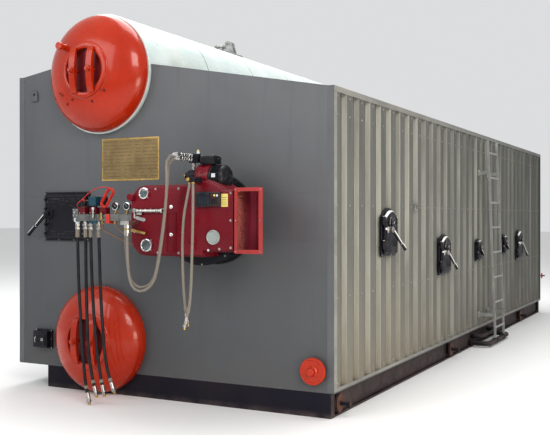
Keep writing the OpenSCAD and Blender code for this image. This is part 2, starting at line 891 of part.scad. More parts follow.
module drain_pipes() {
  color(black) for (d = drain_loops)
    translate([skid_right - channel_depth, 0, d[0]]) pipe_loop(d[1], d[2], d[3], d[4]);
}

valve_x = half_w - 95;
valve_z = 575;

module corner_valve() {
  color([0.6, 0.08, 0.08]) on_rear_wall(valve_x, valve_z) {
    rod(20, 0, 60);
    rod(30, 60, 78, $fn = 32);
    translate([0, 0, 105]) rotate([0, -90, 0]) {
      rod(34, -34, 34);
      rod(11, 34, 150);
      rod(46, 92, 104);
      rod(16, 104, 118);
    }
    translate([0, -348, 0]) rod(24, 0, 60);
  }
}

// Doors, in their own frame: x to the latch side, y up, z out of the wall

module arched_outline(w, h, rise) {
  if (rise > 0) {
    arch_r = (pow(w / 2, 2) + pow(rise, 2)) / (2 * rise);
    intersection() {
      translate([-w / 2, -h / 2]) square([w, h]);
      translate([0, h / 2 - arch_r]) circle(r = arch_r, $fn = 128);
    }
  } else {
    translate([-w / 2, -h / 2]) square([w, h]);
  }
}

hinge_out = frame_t + leaf_gap + leaf_t / 2;
function hinge_x(w) = -w / 2 - 2;
knuckle_r = leaf_gap + leaf_t / 2 - 1;
knuckle_h = 42;
lug_h = 26;
function knuckles(h) = [-h * 0.27, h * 0.22];

module frame_piece(w, h, rise, x0, x1, y0, y1) {
  linear_extrude(frame_t) intersection() {
    arched_outline(w, h, rise);
    translate([x0, y0]) square([x1 - x0, y1 - y0]);
  }
}

// Four cast bars round the opening, each with its throat plate through the wall
module door_frame(w, h, rise, depth) {
  a = open_w(w) / 2;
  b = open_h(h) / 2;
  far = w + h;
  for (side = [-1, 1]) {
    frame_piece(w, h, rise, side < 0 ? -far : a, side < 0 ? -a : far, -far, far);
    block([side < 0 ? -a - throat_t : a, -b, -depth], [side < 0 ? -a : a + throat_t, b, 0]);
    frame_piece(w, h, rise, -a + joint, a - joint, side < 0 ? -far : b, side < 0 ? -b : far);
    block([-a + joint, side < 0 ? -b - throat_t : b, -depth],
      [a - joint, side < 0 ? -b : b + throat_t, 0]);
  }
  for (y = knuckles(h)) translate([hinge_x(w), y, hinge_out]) rotate([-90, 0, 0]) {
    rod(knuckle_r, -lug_h - pin_gap, -pin_gap);
    rod(pin_r, -pin_gap, knuckle_h + 6);
    translate([-6, hinge_out - frame_t, -lug_h - pin_gap])
      cube([34, frame_t, lug_h]);
    translate([-knuckle_r + 6, 0, -lug_h - pin_gap]) cube([24, hinge_out - frame_t, lug_h]);
  }
}

module door_leaf(w, h, rise) {
  leaf_w = w - 2 * leaf_inset;
  leaf_h = h - 2 * leaf_inset;
  translate([0, 0, frame_t + leaf_gap]) {
    linear_extrude(leaf_t) arched_outline(leaf_w, leaf_h, rise > 0 ? rise - 6 : 0);
  }
  difference() {
    union() for (y = knuckles(h)) {
      translate([hinge_x(w), y, hinge_out]) rotate([-90, 0, 0]) rod(knuckle_r, 0, knuckle_h);
      block([hinge_x(w), y, hinge_out - 9], [-leaf_w / 2 + 30, y + knuckle_h, hinge_out + 9]);
    }
    for (y = knuckles(h)) translate([hinge_x(w), y, hinge_out]) rotate([-90, 0, 0])
      rod(pin_r + pin_gap, -1, knuckle_h + 1);
  }
}

pivot_r = 10;
leaf_face = frame_t + leaf_gap + leaf_t;
lever_stand = 34;
lever_t = 16;

// Leaf with the pivot that carries the latch lever
module lever_leaf(w, h, rise, pivot) {
  door_leaf(w, h, rise);
  translate([pivot[0], pivot[1], leaf_face]) {
    rod(22, 0, lever_stand - pin_gap);
    rod(pivot_r, 0, lever_stand + lever_t + 8);
  }
}

module lever(pivot, reach) {
  angle = atan2(reach[1], reach[0]);
  span = norm(reach);
  translate([pivot[0], pivot[1], leaf_face + lever_stand]) rotate([0, 0, angle]) difference() {
    union() {
      rod(26, 0, lever_t);
      linear_extrude(lever_t) polygon([[0, -16], [span * 0.7, -11], [span, -11],
        [span, 11], [span * 0.7, 11], [0, 16]]);
      translate([span, 0, 0]) rod(15, 0, lever_t);
    }
    rod(pivot_r + pin_gap, -1, lever_t + 1);
  }
}

module door_frames() {
  color(black) {
    for (d = big_doors) on_right_wall(d[0], d[1]) door_frame(door_w, door_h, big_rise, slab_in);
    for (d = ports) on_right_wall(d[0], d[1]) door_frame(port_w, port_h, port_rise, slab_in);
    on_front_wall(access_x, access_z) mirror([1, 0, 0])
      door_frame(access_w, access_h, 0, wall_t);
  }
}

door_pivot = [-100, 22];
door_reach = [320, -175];
hub_at = [-20, 83];
hub_r = 50;
hub_out = 26;

// Large furnace door: a round hub for the peep glass above the lever
module furnace_door(i) {
  color(black) on_right_wall(big_doors[i][0], big_doors[i][1]) {
    lever_leaf(door_w, door_h, big_rise, door_pivot);
    translate([hub_at[0], hub_at[1], leaf_face]) rod(hub_r, 0, hub_out);
  }
}

module furnace_lever(i) {
  color(black) on_right_wall(big_doors[i][0], big_doors[i][1]) lever(door_pivot, door_reach);
}

port_hub_at = [8, 34];
port_hub_r = 32;
port_hub_out = 18;
grip_x = [-40, 90];
grip_w = 18;
grip_t = 22;
grip_angle = -28;

module furnace_port(i) {
  color(black) on_right_wall(ports[i][0], ports[i][1]) {
    door_leaf(port_w, port_h, port_rise);
    translate([port_hub_at[0], port_hub_at[1], leaf_face]) rod(port_hub_r, 0, port_hub_out);
    translate([0, -20, leaf_face]) rotate([0, 0, grip_angle])
      block([grip_x[0], -grip_w / 2, 0], [grip_x[1], grip_w / 2, grip_t]);
  }
}

module furnace_door_1() { furnace_door(0); }
module furnace_door_2() { furnace_door(1); }
module furnace_door_3() { furnace_door(2); }
module furnace_port_1() { furnace_port(0); }
module furnace_port_2() { furnace_port(1); }
module door_lever_1() { furnace_lever(0); }
module door_lever_2() { furnace_lever(1); }
module door_lever_3() { furnace_lever(2); }

module access_door() {
  color(black) on_front_wall(access_x, access_z) mirror([1, 0, 0])
    lever_leaf(access_w, access_h, 0, access_pivot);
}

access_pivot = [170, 25];
access_reach = [200, -185];

module access_lever() {
  color(black) on_front_wall(access_x, access_z) mirror([1, 0, 0])
    lever(access_pivot, access_reach);
}

// Hoses: one tube swept along the points of each route

function unit(v) = v / norm(v);
function tangent(path, i) = unit(path[min(i + 1, len(path) - 1)] - path[max(i - 1, 0)]);
function hose_ring(at, dir, r, sides) = let (a = unit(cross(dir, [0, 1, 0])), b = cross(dir, a))
  [for (k = [0:sides - 1]) at + r * (cos(360 * k / sides) * a + sin(360 * k / sides) * b)];

module hose(path, r, sides = 8) {
  rings = len(path);
  points = [for (i = [0:rings - 1]) each hose_ring(path[i], tangent(path, i), r, sides)];
  walls = [for (i = [0:rings - 2], k = [0:sides - 1]) let (m = (k + 1) % sides)
    [i * sides + k, i * sides + m, (i + 1) * sides + m, (i + 1) * sides + k]];
  start = [for (k = [sides - 1:-1:0]) k];
  end = [for (k = [0:sides - 1]) (rings - 1) * sides + k];
  polyhedron(points, concat([start], walls, [end]), convexity = 6);
}

black_r = 12.5;
braid_r = 10;
hang_y = -half_l - bar_p;
hang_z = bar_z - bar_half - nut_drop;

// Each route gives x and z from the burner axis
black_route_1 = [[-1075, hang_y, hang_z], [-1075, hang_y, -205], [-1072, hang_y, -335],
  [-1064, hang_y, -555], [-1049, hang_y, -785], [-1032, hang_y, -1005], [-1014, hang_y, -1205],
  [-995, hang_y, -1360], [-973, hang_y, -1449]];
black_route_2 = [[-992, hang_y, hang_z], [-992, hang_y, -205], [-991, hang_y, -335],
  [-987, hang_y, -555], [-980, hang_y, -785], [-969, hang_y, -1030], [-949, hang_y, -1190],
  [-924, hang_y, -1315], [-901, hang_y, -1389]];
black_route_3 = [[-939, hang_y, hang_z], [-939, hang_y, -205], [-936, hang_y, -335],
  [-926, hang_y, -555], [-910, hang_y, -785], [-883, hang_y, -1030], [-861, hang_y, -1190],
  [-839, hang_y, -1305], [-821, hang_y, -1374]];
black_route_4 = [[-857, hang_y, hang_z], [-857, hang_y, -205], [-852, hang_y, -335],
  [-842, hang_y, -585], [-822, hang_y, -875], [-802, hang_y, -1085], [-777, hang_y, -1220],
  [-752, hang_y, -1295], [-731, hang_y, -1344]];

module burner_hose(path, r) {
  translate([burner_x, 0, burner_z]) hose(path, r);
}

module black_hose_1() { color(hose_black) burner_hose(black_route_1, black_r); }
module black_hose_2() { color(hose_black) burner_hose(black_route_2, black_r); }
module black_hose_3() { color(hose_black) burner_hose(black_route_3, black_r); }
module black_hose_4() { color(hose_black) burner_hose(black_route_4, black_r); }

loop_y = -half_l - loop_p;
loop_y2 = loop_y - loop_step;
loop_route_1 = [[cluster_x, loop_y, loop_z[0]], [-20, loop_y, 423],
  [-46, loop_y, 415], [-70, loop_y, 397], [-86, loop_y, 369], [-90, loop_y, 335],
  [-92, loop_y, 255], [-109, loop_y, 105], [-136, loop_y, -88], [-173, loop_y, -305],
  [-203, loop_y, -440], [-232, loop_y, -498], [-270, loop_y, -533], [-315, loop_y, -549],
  [-358, loop_y, -550], [-398, loop_y, -532], [-430, loop_y, -497], [-452, loop_y, -435],
  [-468, loop_y, -340], [-480, loop_y, -225], [-480, loop_y, -156]];
loop_route_2 = [[cluster_x, loop_y2, loop_z[1]], [-20, loop_y2, 451],
  [-46, loop_y2, 443], [-69, loop_y2, 425], [-83, loop_y2, 397], [-86, loop_y2, 361],
  [-83, loop_y2, 265], [-90, loop_y2, 105], [-112, loop_y2, -95], [-150, loop_y2, -315],
  [-184, loop_y2, -455], [-212, loop_y2, -513], [-254, loop_y2, -553], [-303, loop_y2, -574],
  [-348, loop_y2, -576], [-386, loop_y2, -556], [-414, loop_y2, -517], [-431, loop_y2, -455],
  [-441, loop_y2, -350], [-446, loop_y2, -230], [-446, loop_y2, -160]];

module loop_hose_1() { color(braid) burner_hose(loop_route_1, braid_r); }
module loop_hose_2() { color(braid) burner_hose(loop_route_2, braid_r); }

tail_route_1 = [[102, loop_y, tail_z], [102, loop_y, 220], [82, loop_y, 135], [52, loop_y, -15],
  [40, loop_y, -195], [42, loop_y, -385], [50, loop_y, -545], [62, loop_y, -665],
  [76, loop_y, -740]];
tail_route_2 = [[132, loop_y, tail_z], [132, loop_y, 220], [136, loop_y - 6, 135],
  [142, loop_y - 18, -35], [146, loop_y - 32, -215], [147, loop_y - 42, -385],
  [140, loop_y - 42, -545], [126, loop_y - 42, -670], [104, loop_y - 42, -760]];

module tail_hose_1() { color(braid) burner_hose(tail_route_1, braid_r); }
module tail_hose_2() { color(braid) burner_hose(tail_route_2, braid_r); }

// Threaded steel end on the last point of a route
module hose_end(path, r) {
  n = len(path) - 1;
  dir = unit(path[n] - path[n - 1]);
  translate(path[n]) rotate([0, acos(dir[2]), atan2(dir[1], dir[0])]) {
    rod(r + 4, 0, 46);
    rod(r + 8, 46, 66, $fn = 6);
    rod(r, 66, 84);
  }
}

module hose_ends() {
  color(steel) translate([burner_x, 0, burner_z]) {
    for (path = [black_route_1, black_route_2, black_route_3, black_route_4])
      hose_end(path, black_r);
    for (path = [tail_route_1, tail_route_2]) hose_end(path, braid_r);
  }
}

// Bundle of spare valve cable in front of the third coil, an outline with round ends
hank_at = [-766, 91];
hank_l = 107;
hank_r = 34;
hank_d = 36;
hank_angle = 57;

module valve_cable() {
  color([0.85, 0.2, 0.12]) on_front_wall(burner_x, burner_z)
    translate([hank_at[0], hank_at[1], bar_p + valve_half + pin_gap])
    rotate([0, 0, hank_angle]) linear_extrude(hank_d) {
      circle(r = hank_r);
      translate([hank_l, 0]) circle(r = hank_r);
      translate([0, -hank_r]) square([hank_l, 2 * hank_r]);
    }
}

// Cable from the side of the first valve over the coils to the top of the bundle
lead_r = 3.5;
lead_route = [[-1042, hang_y, 52], [-1054, hang_y, 52], [-1064, hang_y - 12, 66],
  [-1048, hang_y - 32, 92], [-1016, hang_y - 44, 112], [-974, hang_y - 48, 135],
  [-938, hang_y - 48, 164], [-900, hang_y - 48, 190], [-860, hang_y - 46, 208],
  [-815, hang_y - 45, 222], [-770, hang_y - 44, 229], [-745, hang_y - 44, 226],
  [-734, hang_y - 44, 219], [-728, hang_y - 44, 211]];

module cable_lead() {
  color([0.85, 0.2, 0.12]) burner_hose(lead_route, lead_r);
}

skid_base();
base_trunnions();
floor_plates();
front_wall();
rear_wall();
right_wall();
left_wall();
roof_panels();
side_cladding();
casing_trims();
steam_drum();
drum_jacket();
steam_drum_front_head();
water_drum();
water_drum_front_head();
drum_rear_heads();
front_manways();
rear_manways();
drum_top_fitting();
header_flange();
cleanout_box();
flue_collar();
burner_flange();
burner_housing();
fan_volute();
air_intake_box();
blower_motor();
oil_pump();
control_box();
sight_glasses();
oil_manifold();
oil_valves();
pressure_gauges();
ladder();
drain_pipes();
corner_valve();
door_frames();
furnace_door_1();
furnace_door_2();
furnace_door_3();
furnace_port_1();
furnace_port_2();
access_door();
door_lever_1();
door_lever_2();
door_lever_3();
access_lever();
black_hose_1();
black_hose_2();
black_hose_3();
black_hose_4();
loop_hose_1();
loop_hose_2();
tail_hose_1();
tail_hose_2();
hose_ends();
valve_cable();
cable_lead();
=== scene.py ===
"""Two-drum water-tube boiler with an oil and gas burner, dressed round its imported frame."""
import math
import random

import bmesh
import bpy
from mathutils import Matrix, Vector


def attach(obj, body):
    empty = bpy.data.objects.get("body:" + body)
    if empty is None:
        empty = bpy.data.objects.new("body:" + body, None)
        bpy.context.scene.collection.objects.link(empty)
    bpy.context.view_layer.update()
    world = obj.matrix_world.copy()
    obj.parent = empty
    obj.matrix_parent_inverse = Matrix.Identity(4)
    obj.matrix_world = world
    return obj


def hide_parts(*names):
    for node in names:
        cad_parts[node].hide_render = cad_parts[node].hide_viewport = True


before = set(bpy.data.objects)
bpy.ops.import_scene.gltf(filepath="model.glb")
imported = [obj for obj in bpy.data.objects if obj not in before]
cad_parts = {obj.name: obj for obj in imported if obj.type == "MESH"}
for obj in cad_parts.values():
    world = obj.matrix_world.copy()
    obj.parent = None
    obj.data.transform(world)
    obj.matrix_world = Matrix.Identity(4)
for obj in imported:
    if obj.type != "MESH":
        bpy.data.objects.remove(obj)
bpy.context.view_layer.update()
rng = random.Random(7)

# Sizes of the frame, in millimetres, as all shapes below
HALF_W, HALF_L = 1565, 4125
DRUM_X, STEAM_Z, WATER_Z = -615, 2754, 470
STEAM_R, JACKET_R, WATER_R = 502, 514, 455
DRUM_PROUD, DISH, RING_RISE = 50, 0.42, 12
BURNER_X, BURNER_Z = 560, 1535

# Camera and light; each lamp has its place, target, size in metres, power and colour
LENS_MM, SENSOR_MM = 56.7, 36
CAMERA_AT, CAMERA_LOOK = (4.159, -10.101, 1.523), (-0.4596, 0.8881, -0.001)
LAMPS = {"key": ((7.5, -11.0, 7.0), (0.8, -4.0, 1.6), (5, 4), 520, (1.0, 0.98, 0.95)),
         "fill": ((-4.5, -13.0, 6.5), (-0.6, -4.0, 1.5), (7, 5), 290, (0.96, 0.98, 1.0)),
         "top": ((-1.0, 0.5, 10.5), (-0.5, 0.0, 2.0), (7, 12), 1100, (1, 1, 1)),
         "low": ((6.0, -6.5, 1.2), (1.5, -2.6, 1.0), (3, 1.6), 95, (1.0, 0.90, 0.76))}
SKY, SKY_STRENGTH = (0.93, 0.94, 0.95, 1), 0.66


def link(name, data):
    """New object in the scene that holds the data."""
    obj = bpy.data.objects.new(name, data)
    bpy.context.scene.collection.objects.link(obj)
    return obj


def aim(direction):
    return Vector(direction).to_track_quat("-Z", "Y").to_euler()


def add_camera():
    data = bpy.data.cameras.new("photo_camera")
    data.lens, data.sensor_width = LENS_MM, SENSOR_MM
    camera = link("photo_camera", data)
    camera.location = CAMERA_AT
    camera.rotation_euler = aim(CAMERA_LOOK)
    bpy.context.scene.camera = camera


def add_lamp(name, place, target, size, power, colour):
    data = bpy.data.lights.new(name, "AREA")
    data.shape = "RECTANGLE"
    data.size, data.size_y = size
    data.energy, data.color = power, colour
    lamp = link(name, data)
    lamp.location = place
    lamp.rotation_euler = aim(Vector(target) - Vector(place))


def add_studio():
    for name, facts in LAMPS.items():
        add_lamp(name, *facts)
    world = bpy.data.worlds.new("studio")
    world.use_nodes = True
    sky = world.node_tree.nodes["Background"].inputs
    sky["Color"].default_value = SKY
    sky["Strength"].default_value = SKY_STRENGTH
    scene = bpy.context.scene
    scene.world = world
    scene.view_settings.view_transform = "Standard"
    scene.view_settings.look = "Medium High Contrast"


# Node materials

class Graph:
    """Short calls for the shader nodes that the finishes share; tone is the colour so far."""

    def __init__(self, name):
        self.material = bpy.data.materials.new(name)
        self.material.use_nodes = True
        self.tree = self.material.node_tree
        self.tree.nodes.clear()
        self.shader = self.tree.nodes.new("ShaderNodeBsdfPrincipled")
        output = self.tree.nodes.new("ShaderNodeOutputMaterial")
        self.tree.links.new(self.shader.outputs[0], output.inputs[0])
        self.place = self.node("ShaderNodeTexCoord", {}, "Object")
        self.normal = self.node("ShaderNodeNewGeometry", {}, "Normal")

    def put(self, socket, value):
        if isinstance(value, bpy.types.NodeSocket):
            self.tree.links.new(value, socket)
        elif isinstance(value, tuple) and len(value) == 3 and len(socket.default_value) == 4:
            socket.default_value = (*value, 1)
        else:
            socket.default_value = value

    def node(self, kind, values, output=0, **settings):
        """New node with values on its named or numbered sockets; gives one of its outputs."""
        node = self.tree.nodes.new(kind)
        for key, value in settings.items():
            setattr(node, key, value)
        for socket, value in values.items():
            self.put(node.inputs[socket], value)
        return node.outputs[output]

    def scaled(self, stretch, offset=(0, 0, 0)):
        return self.node("ShaderNodeMapping", {"Vector": self.place, "Scale": stretch, "Location": offset})

    def noise(self, scale, detail=4.0, rough=0.55, stretch=(1, 1, 1), offset=(0, 0, 0)):
        return self.node("ShaderNodeTexNoise", {"Vector": self.scaled(stretch, offset), "Scale": scale,
                                                "Detail": detail, "Roughness": rough}, "Fac")

    def cells(self, scale, stretch=(1, 1, 1)):
        return self.node("ShaderNodeTexVoronoi", {"Vector": self.scaled(stretch), "Scale": scale}, "Distance")

    def calc(self, operation, a, b=0.0):
        return self.node("ShaderNodeMath", {0: a, 1: b}, operation=operation)

    def times(self, a, b):
        return self.calc("MULTIPLY", a, b)

    def spread(self, value, low, high, to_low=0.0, to_high=1.0):
        return self.node("ShaderNodeMapRange", dict(enumerate((value, low, high, to_low, to_high))))

    def cloud(self, scale, detail, low, high, *ends, **noise):
        """Noise spread from low and high to 0 and 1, or to the two ends given."""
        return self.spread(self.noise(scale, detail, **noise), low, high, *ends)

    def mix(self, share, a, b):
        return self.node("ShaderNodeMix", {0: share, 6: a, 7: b}, 2, data_type="RGBA")

    def layer(self, share, colour, strength=None):
        """Lay a colour over the tone so far."""
        if strength is not None:
            share = self.times(share, strength)
        self.tone = self.mix(share, self.tone, colour)

    def axis(self, name, vector=None):
        return self.node("ShaderNodeSeparateXYZ", {0: vector or self.place}, name)

    def size(self, name, vector=None):
        return self.calc("ABSOLUTE", self.axis(name, vector))

    def edges(self, radius):
        """1 where the surface turns within the radius, 0 on the flat."""
        bevel = self.node("ShaderNodeBevel", {"Radius": radius}, samples=3)
        dot = self.node("ShaderNodeVectorMath", {0: bevel, 1: self.normal}, "Value", operation="DOT_PRODUCT")
        return self.spread(dot, 0.99, 0.90)

    def bump(self, height, depth, strength=1.0):
        values = {"Distance": depth, "Strength": strength, "Height": height}
        self.put(self.shader.inputs["Normal"], self.node("ShaderNodeBump", values))

    def finish(self, rough, metallic=0.0, **extra):
        values = {"Base_Color": self.tone, "Roughness": rough, "Metallic": metallic, **extra}
        for key, value in values.items():
            self.put(self.shader.inputs[key.replace("_", " ")], value)
        return self.material


def paint(name, colour, deep, rough=0.35, wear=0.5, under=(0.06, 0.05, 0.045), dust=0.3,
          dust_colour=(0.30, 0.27, 0.23), foot=0.0, peel=0.0004, coat=0.0, flank=0.0, gleam=0.4):
    """Paint on metal: cloudy tone, fine grain, dust on upward faces, chips on the edges.

    foot is the height in metres up to which dirt lies; flank is how much dust the long sides hold."""
    g = Graph(name)
    g.tone = g.mix(g.cloud(1.7, 5, 0.35, 0.68), colour, deep)
    g.layer(g.cloud(38, 5, 0.3, 0.7, 0.0, 0.28), deep)
    patches = g.cloud(7, 6, 0.38, 0.66, rough=0.65)
    settled = g.times(g.times(g.spread(g.axis("Z", g.normal), 0.25, 0.95), patches), dust)
    if foot:
        low = g.spread(g.axis("Z"), foot, 0.0, 0.0, 0.75)
        settled = g.calc("MAXIMUM", settled, g.times(low, patches))
    if flank:
        sides = g.times(g.size("X", g.normal), flank)
        settled = g.calc("MAXIMUM", settled, g.times(sides, g.spread(patches, 0, 1, 0.5, 1.0)))
    g.layer(settled, dust_colour)
    if wear:
        g.layer(g.times(g.edges(0.006), g.cloud(45, 6, 0.48, 0.6, rough=0.7)), under, wear)
    gloss = g.cloud(11, 6, 0.3, 0.7, rough * 0.75, rough * 1.3, rough=0.6)
    g.bump(g.noise(210, 3), peel)
    return g.finish(g.calc("ADD", gloss, g.times(settled, 0.3)), Coat_Weight=coat, Coat_Roughness=0.08,
                    Specular_IOR_Level=gleam)


def metal(name, colour, deep, rough=0.3, dirt=0.4, metallic=1.0):
    """Bare metal with a fine grain, blotches and dirt."""
    g = Graph(name)
    g.tone = g.mix(g.cloud(5, 5, 0.35, 0.7, rough=0.6), colour, deep)
    grain = g.noise(90, 3, 0.6)
    g.layer(g.spread(grain, 0.35, 0.75, 0.0, 0.35), deep)
    grime = g.times(g.cloud(14, 6, 0.52, 0.72, rough=0.7), dirt)
    g.layer(grime, (0.10, 0.08, 0.06))
    g.bump(grain, 0.0002)
    gloss = g.cloud(22, 5, 0.3, 0.7, rough * 0.7, rough * 1.4)
    return g.finish(g.calc("ADD", gloss, g.times(grime, 0.4)), metallic)


def cladding_sheet():
    """Galvanised ribbed sheet: painted shade in the valleys and darker to the rear, painted highlights on the
    rib flanks and edges, painted warm light low at the front, rain streaks, dirt at the foot.
    """
    g = Graph("galvanised_cladding")
    height, along = g.axis("Z"), g.axis("Y")
    sheet = g.node("ShaderNodeTexWhiteNoise", {"W": g.calc("FLOOR", along)}, "Value", noise_dimensions="1D")
    g.tone = g.mix(g.spread(sheet, 0, 1, 0.0, 0.5), (0.150, 0.153, 0.143), (0.112, 0.115, 0.110))
    g.layer(g.cloud(9, 6, 0.42, 0.72, 0.0, 0.6, rough=0.62, stretch=(1, 1, 0.07)), (0.098, 0.096, 0.085))
    # Painted shade in the valleys between the ribs.
    g.layer(g.spread(g.size("X"), 1.550, 1.538), (0.058, 0.059, 0.056), 0.34)
    # Painted highlights: lighter rib flanks, in patches.
    flank = g.spread(g.size("Y", g.normal), 0.6, 0.85)
    highlight_spread = g.cloud(2.2, 5, 0.35, 0.65, 0.25, 1.0, rough=0.6, stretch=(1, 3, 0.25))
    g.layer(g.times(flank, highlight_spread), (0.33, 0.325, 0.285))
    # Painted highlight along the rib edges.
    g.layer(g.times(g.edges(0.010), highlight_spread), (0.46, 0.455, 0.41), 0.6)
    g.layer(g.cells(55), (0.22, 0.22, 0.20), 0.16)
    # Painted warm light: lighter warm patches low on the sheet, strongest at the front end.
    warm_light_patches = g.cloud(2.4, 5, 0.25, 0.75, 0.4, 1.0, rough=0.6, stretch=(1, 1, 0.4))
    painted_warm_light = g.times(g.spread(height, 1.35, 0.25), warm_light_patches)
    g.layer(g.times(painted_warm_light, g.spread(along, -3.2, 0.5, 0.75, 0.12)), (0.265, 0.238, 0.188))
    splash = g.cloud(5, 6, 0.3, 0.7, rough=0.7, stretch=(1, 1, 0.5))
    g.layer(g.times(g.spread(height, 0.55, 0.2), splash), (0.16, 0.13, 0.095), 0.5)
    drips = g.cloud(16, 5, 0.45, 0.7, rough=0.6, stretch=(1, 1, 0.05))
    g.layer(g.times(g.spread(height, 1.7, 2.5), drips), (0.075, 0.078, 0.076), 0.55)
    # Painted shade: the sheet darkens towards the rear.
    g.layer(g.spread(along, -2.6, 4.0, 0.0, 0.48), (0.040, 0.041, 0.039))
    g.bump(g.noise(3.0, 3, 0.5, (1, 1, 0.4)), 0.004, 0.6)
    gloss = g.cloud(6, 5, 0.3, 0.7, 0.50, 0.70, rough=0.6, stretch=(1, 1, 0.3))
    return g.finish(gloss, 0.2, Specular_IOR_Level=0.18)


def jacket_sheet():
    """Aluminium jacket of the steam drum: soft dents, yellowish stains, faint rolling lines."""
    g = Graph("jacket_aluminium")
    g.tone = g.mix(g.cloud(3.5, 5, 0.35, 0.7), (0.72, 0.79, 0.765), (0.54, 0.63, 0.61))
    stain = g.cloud(2.1, 5, 0.56, 0.7, rough=0.6, stretch=(1, 0.6, 1), offset=(3, 0, 0))
    g.layer(stain, (0.52, 0.50, 0.36), 0.35)
    g.layer(g.cloud(24, 4, 0.4, 0.75, 0.0, 0.3, rough=0.6, stretch=(1, 0.15, 1)), (0.42, 0.48, 0.47))
    g.bump(g.noise(2.4, 2, 0.5, (1, 0.8, 1)), 0.010, 0.6)
    return g.finish(g.cloud(7, 4, 0.3, 0.7, 0.24, 0.42), 0.35)


def wall_paint():
    """Satin grey of the front wall: waves of the sheet, wiped dust, runs, painted shade low and to the left.
    """
    g = Graph("casing_grey")
    g.tone = g.mix(g.cloud(0.8, 4, 0.35, 0.7), (0.112, 0.117, 0.125), (0.090, 0.095, 0.102))
    wipes = g.cloud(2.6, 6, 0.45, 0.75, 0.0, 0.35, rough=0.65, stretch=(1, 1, 0.35), offset=(5, 0, 2))
    g.layer(wipes, (0.125, 0.128, 0.122))
    g.layer(g.cloud(14, 5, 0.55, 0.7, rough=0.6, stretch=(1, 1, 0.05)), (0.055, 0.055, 0.056), 0.22)
    # Painted shade: darker towards the bottom.
    g.layer(g.spread(g.axis("Z"), 2.4, 0.5, 0.0, 0.6), (0.052, 0.054, 0.060))
    # Painted shade: darker towards the left.
    g.layer(g.spread(g.axis("X"), -0.9, -1.55, 0.0, 0.45), (0.050, 0.054, 0.058))
    low = g.times(g.spread(g.axis("Z"), 0.55, 0.20), g.cloud(6, 6, 0.35, 0.7, rough=0.7))
    g.layer(low, (0.095, 0.082, 0.066), 0.35)
    g.layer(g.times(g.edges(0.006), g.cloud(40, 6, 0.5, 0.62, rough=0.7)), (0.22, 0.21, 0.19), 0.6)
    g.bump(g.noise(1.4, 2, 0.45), 0.006, 0.5)
    return g.finish(g.cloud(5, 6, 0.3, 0.7, 0.36, 0.54, rough=0.6))


def trim_angle():
    """Corner angles: painted grey on the front and rear, bare galvanised on the long sides."""
    g = Graph("trim_angle")
    bare = g.cloud(6, 5, 0.35, 0.7, rough=0.6, stretch=(1, 0.2, 1))
    bare = g.mix(bare, (0.25, 0.245, 0.22), (0.155, 0.153, 0.14))
    # Painted shade: the bare galvanised darkens towards the rear.
    bare = g.mix(g.spread(g.axis("Y"), -3.0, 4.2, 0.0, 0.5), bare, (0.060, 0.060, 0.058))
    g.tone = g.mix(g.cloud(2.6, 6, 0.4, 0.7, rough=0.65), (0.100, 0.105, 0.112), (0.084, 0.088, 0.095))
    g.layer(g.spread(g.size("X", g.normal), 0.6, 0.8), bare)
    g.bump(g.noise(40, 3), 0.0003)
    return g.finish(g.cloud(9, 5, 0.3, 0.7, 0.42, 0.60))


def braid_sleeve():
    g = Graph("hose_braid")
    weave = g.cells(420, (1, 1, 0.55))
    g.tone = g.mix(g.spread(weave, 0.1, 0.6), (0.29, 0.26, 0.21), (0.15, 0.13, 0.105))
    g.layer(g.cloud(9, 5, 0.4, 0.7, 0.0, 0.5), (0.21, 0.17, 0.155))
    g.bump(weave, 0.0006)
    return g.finish(0.62, 0.15, Sheen_Weight=0.25)


def hose_rubber():
    g = Graph("hose_rubber")
    g.tone = g.mix(g.cloud(16, 6, 0.4, 0.72, rough=0.65), (0.006, 0.006, 0.009), (0.022, 0.021, 0.022))
    g.bump(g.noise(300, 3, 0.6, (1, 1, 0.2)), 0.0003)
    return g.finish(g.cloud(20, 4, 0.3, 0.7, 0.34, 0.55), Specular_IOR_Level=0.3)


def plate_gold():
    """Bare identification plate: etched brass with faint ruled lines and no lettering."""
    g = Graph("nameplate_brass")
    g.tone = g.mix(g.cloud(7, 5, 0.3, 0.7), (0.27, 0.20, 0.095), (0.19, 0.135, 0.065))
    g.layer(g.cloud(30, 6, 0.5, 0.72, 0.0, 0.5, rough=0.7), (0.12, 0.09, 0.05))
    row = g.calc("FRACT", g.times(g.axis("Z"), 34.0))
    ruled = g.spread(g.calc("ABSOLUTE", g.calc("SUBTRACT", row, 0.5)), 0.10, 0.06)
    broken = g.cloud(26, 2, 0.40, 0.46, rough=0.4, stretch=(1, 1, 0.4))
    g.layer(g.times(ruled, broken), (0.09, 0.055, 0.028), 0.7)
    g.bump(g.noise(120, 3, 0.5, (0.2, 1, 1)), 0.0002)
    return g.finish(g.cloud(12, 4, 0.3, 0.7, 0.34, 0.5), 0.6)


def glass_pane():
    g = Graph("sight_glass")
    g.tone = g.mix(g.cloud(30, 4, 0.35, 0.7), (0.10, 0.13, 0.13), (0.04, 0.05, 0.055))
    g.bump(g.noise(60, 2), 0.0003)
    return g.finish(g.cloud(40, 3, 0.3, 0.7, 0.04, 0.12), 0.1, Coat_Weight=0.8)


def floor_paint():
    g = Graph("studio_floor")
    g.tone = g.mix(g.cloud(0.7, 4, 0.3, 0.7), (0.80, 0.80, 0.79), (0.76, 0.76, 0.76))
    return g.finish(0.7)


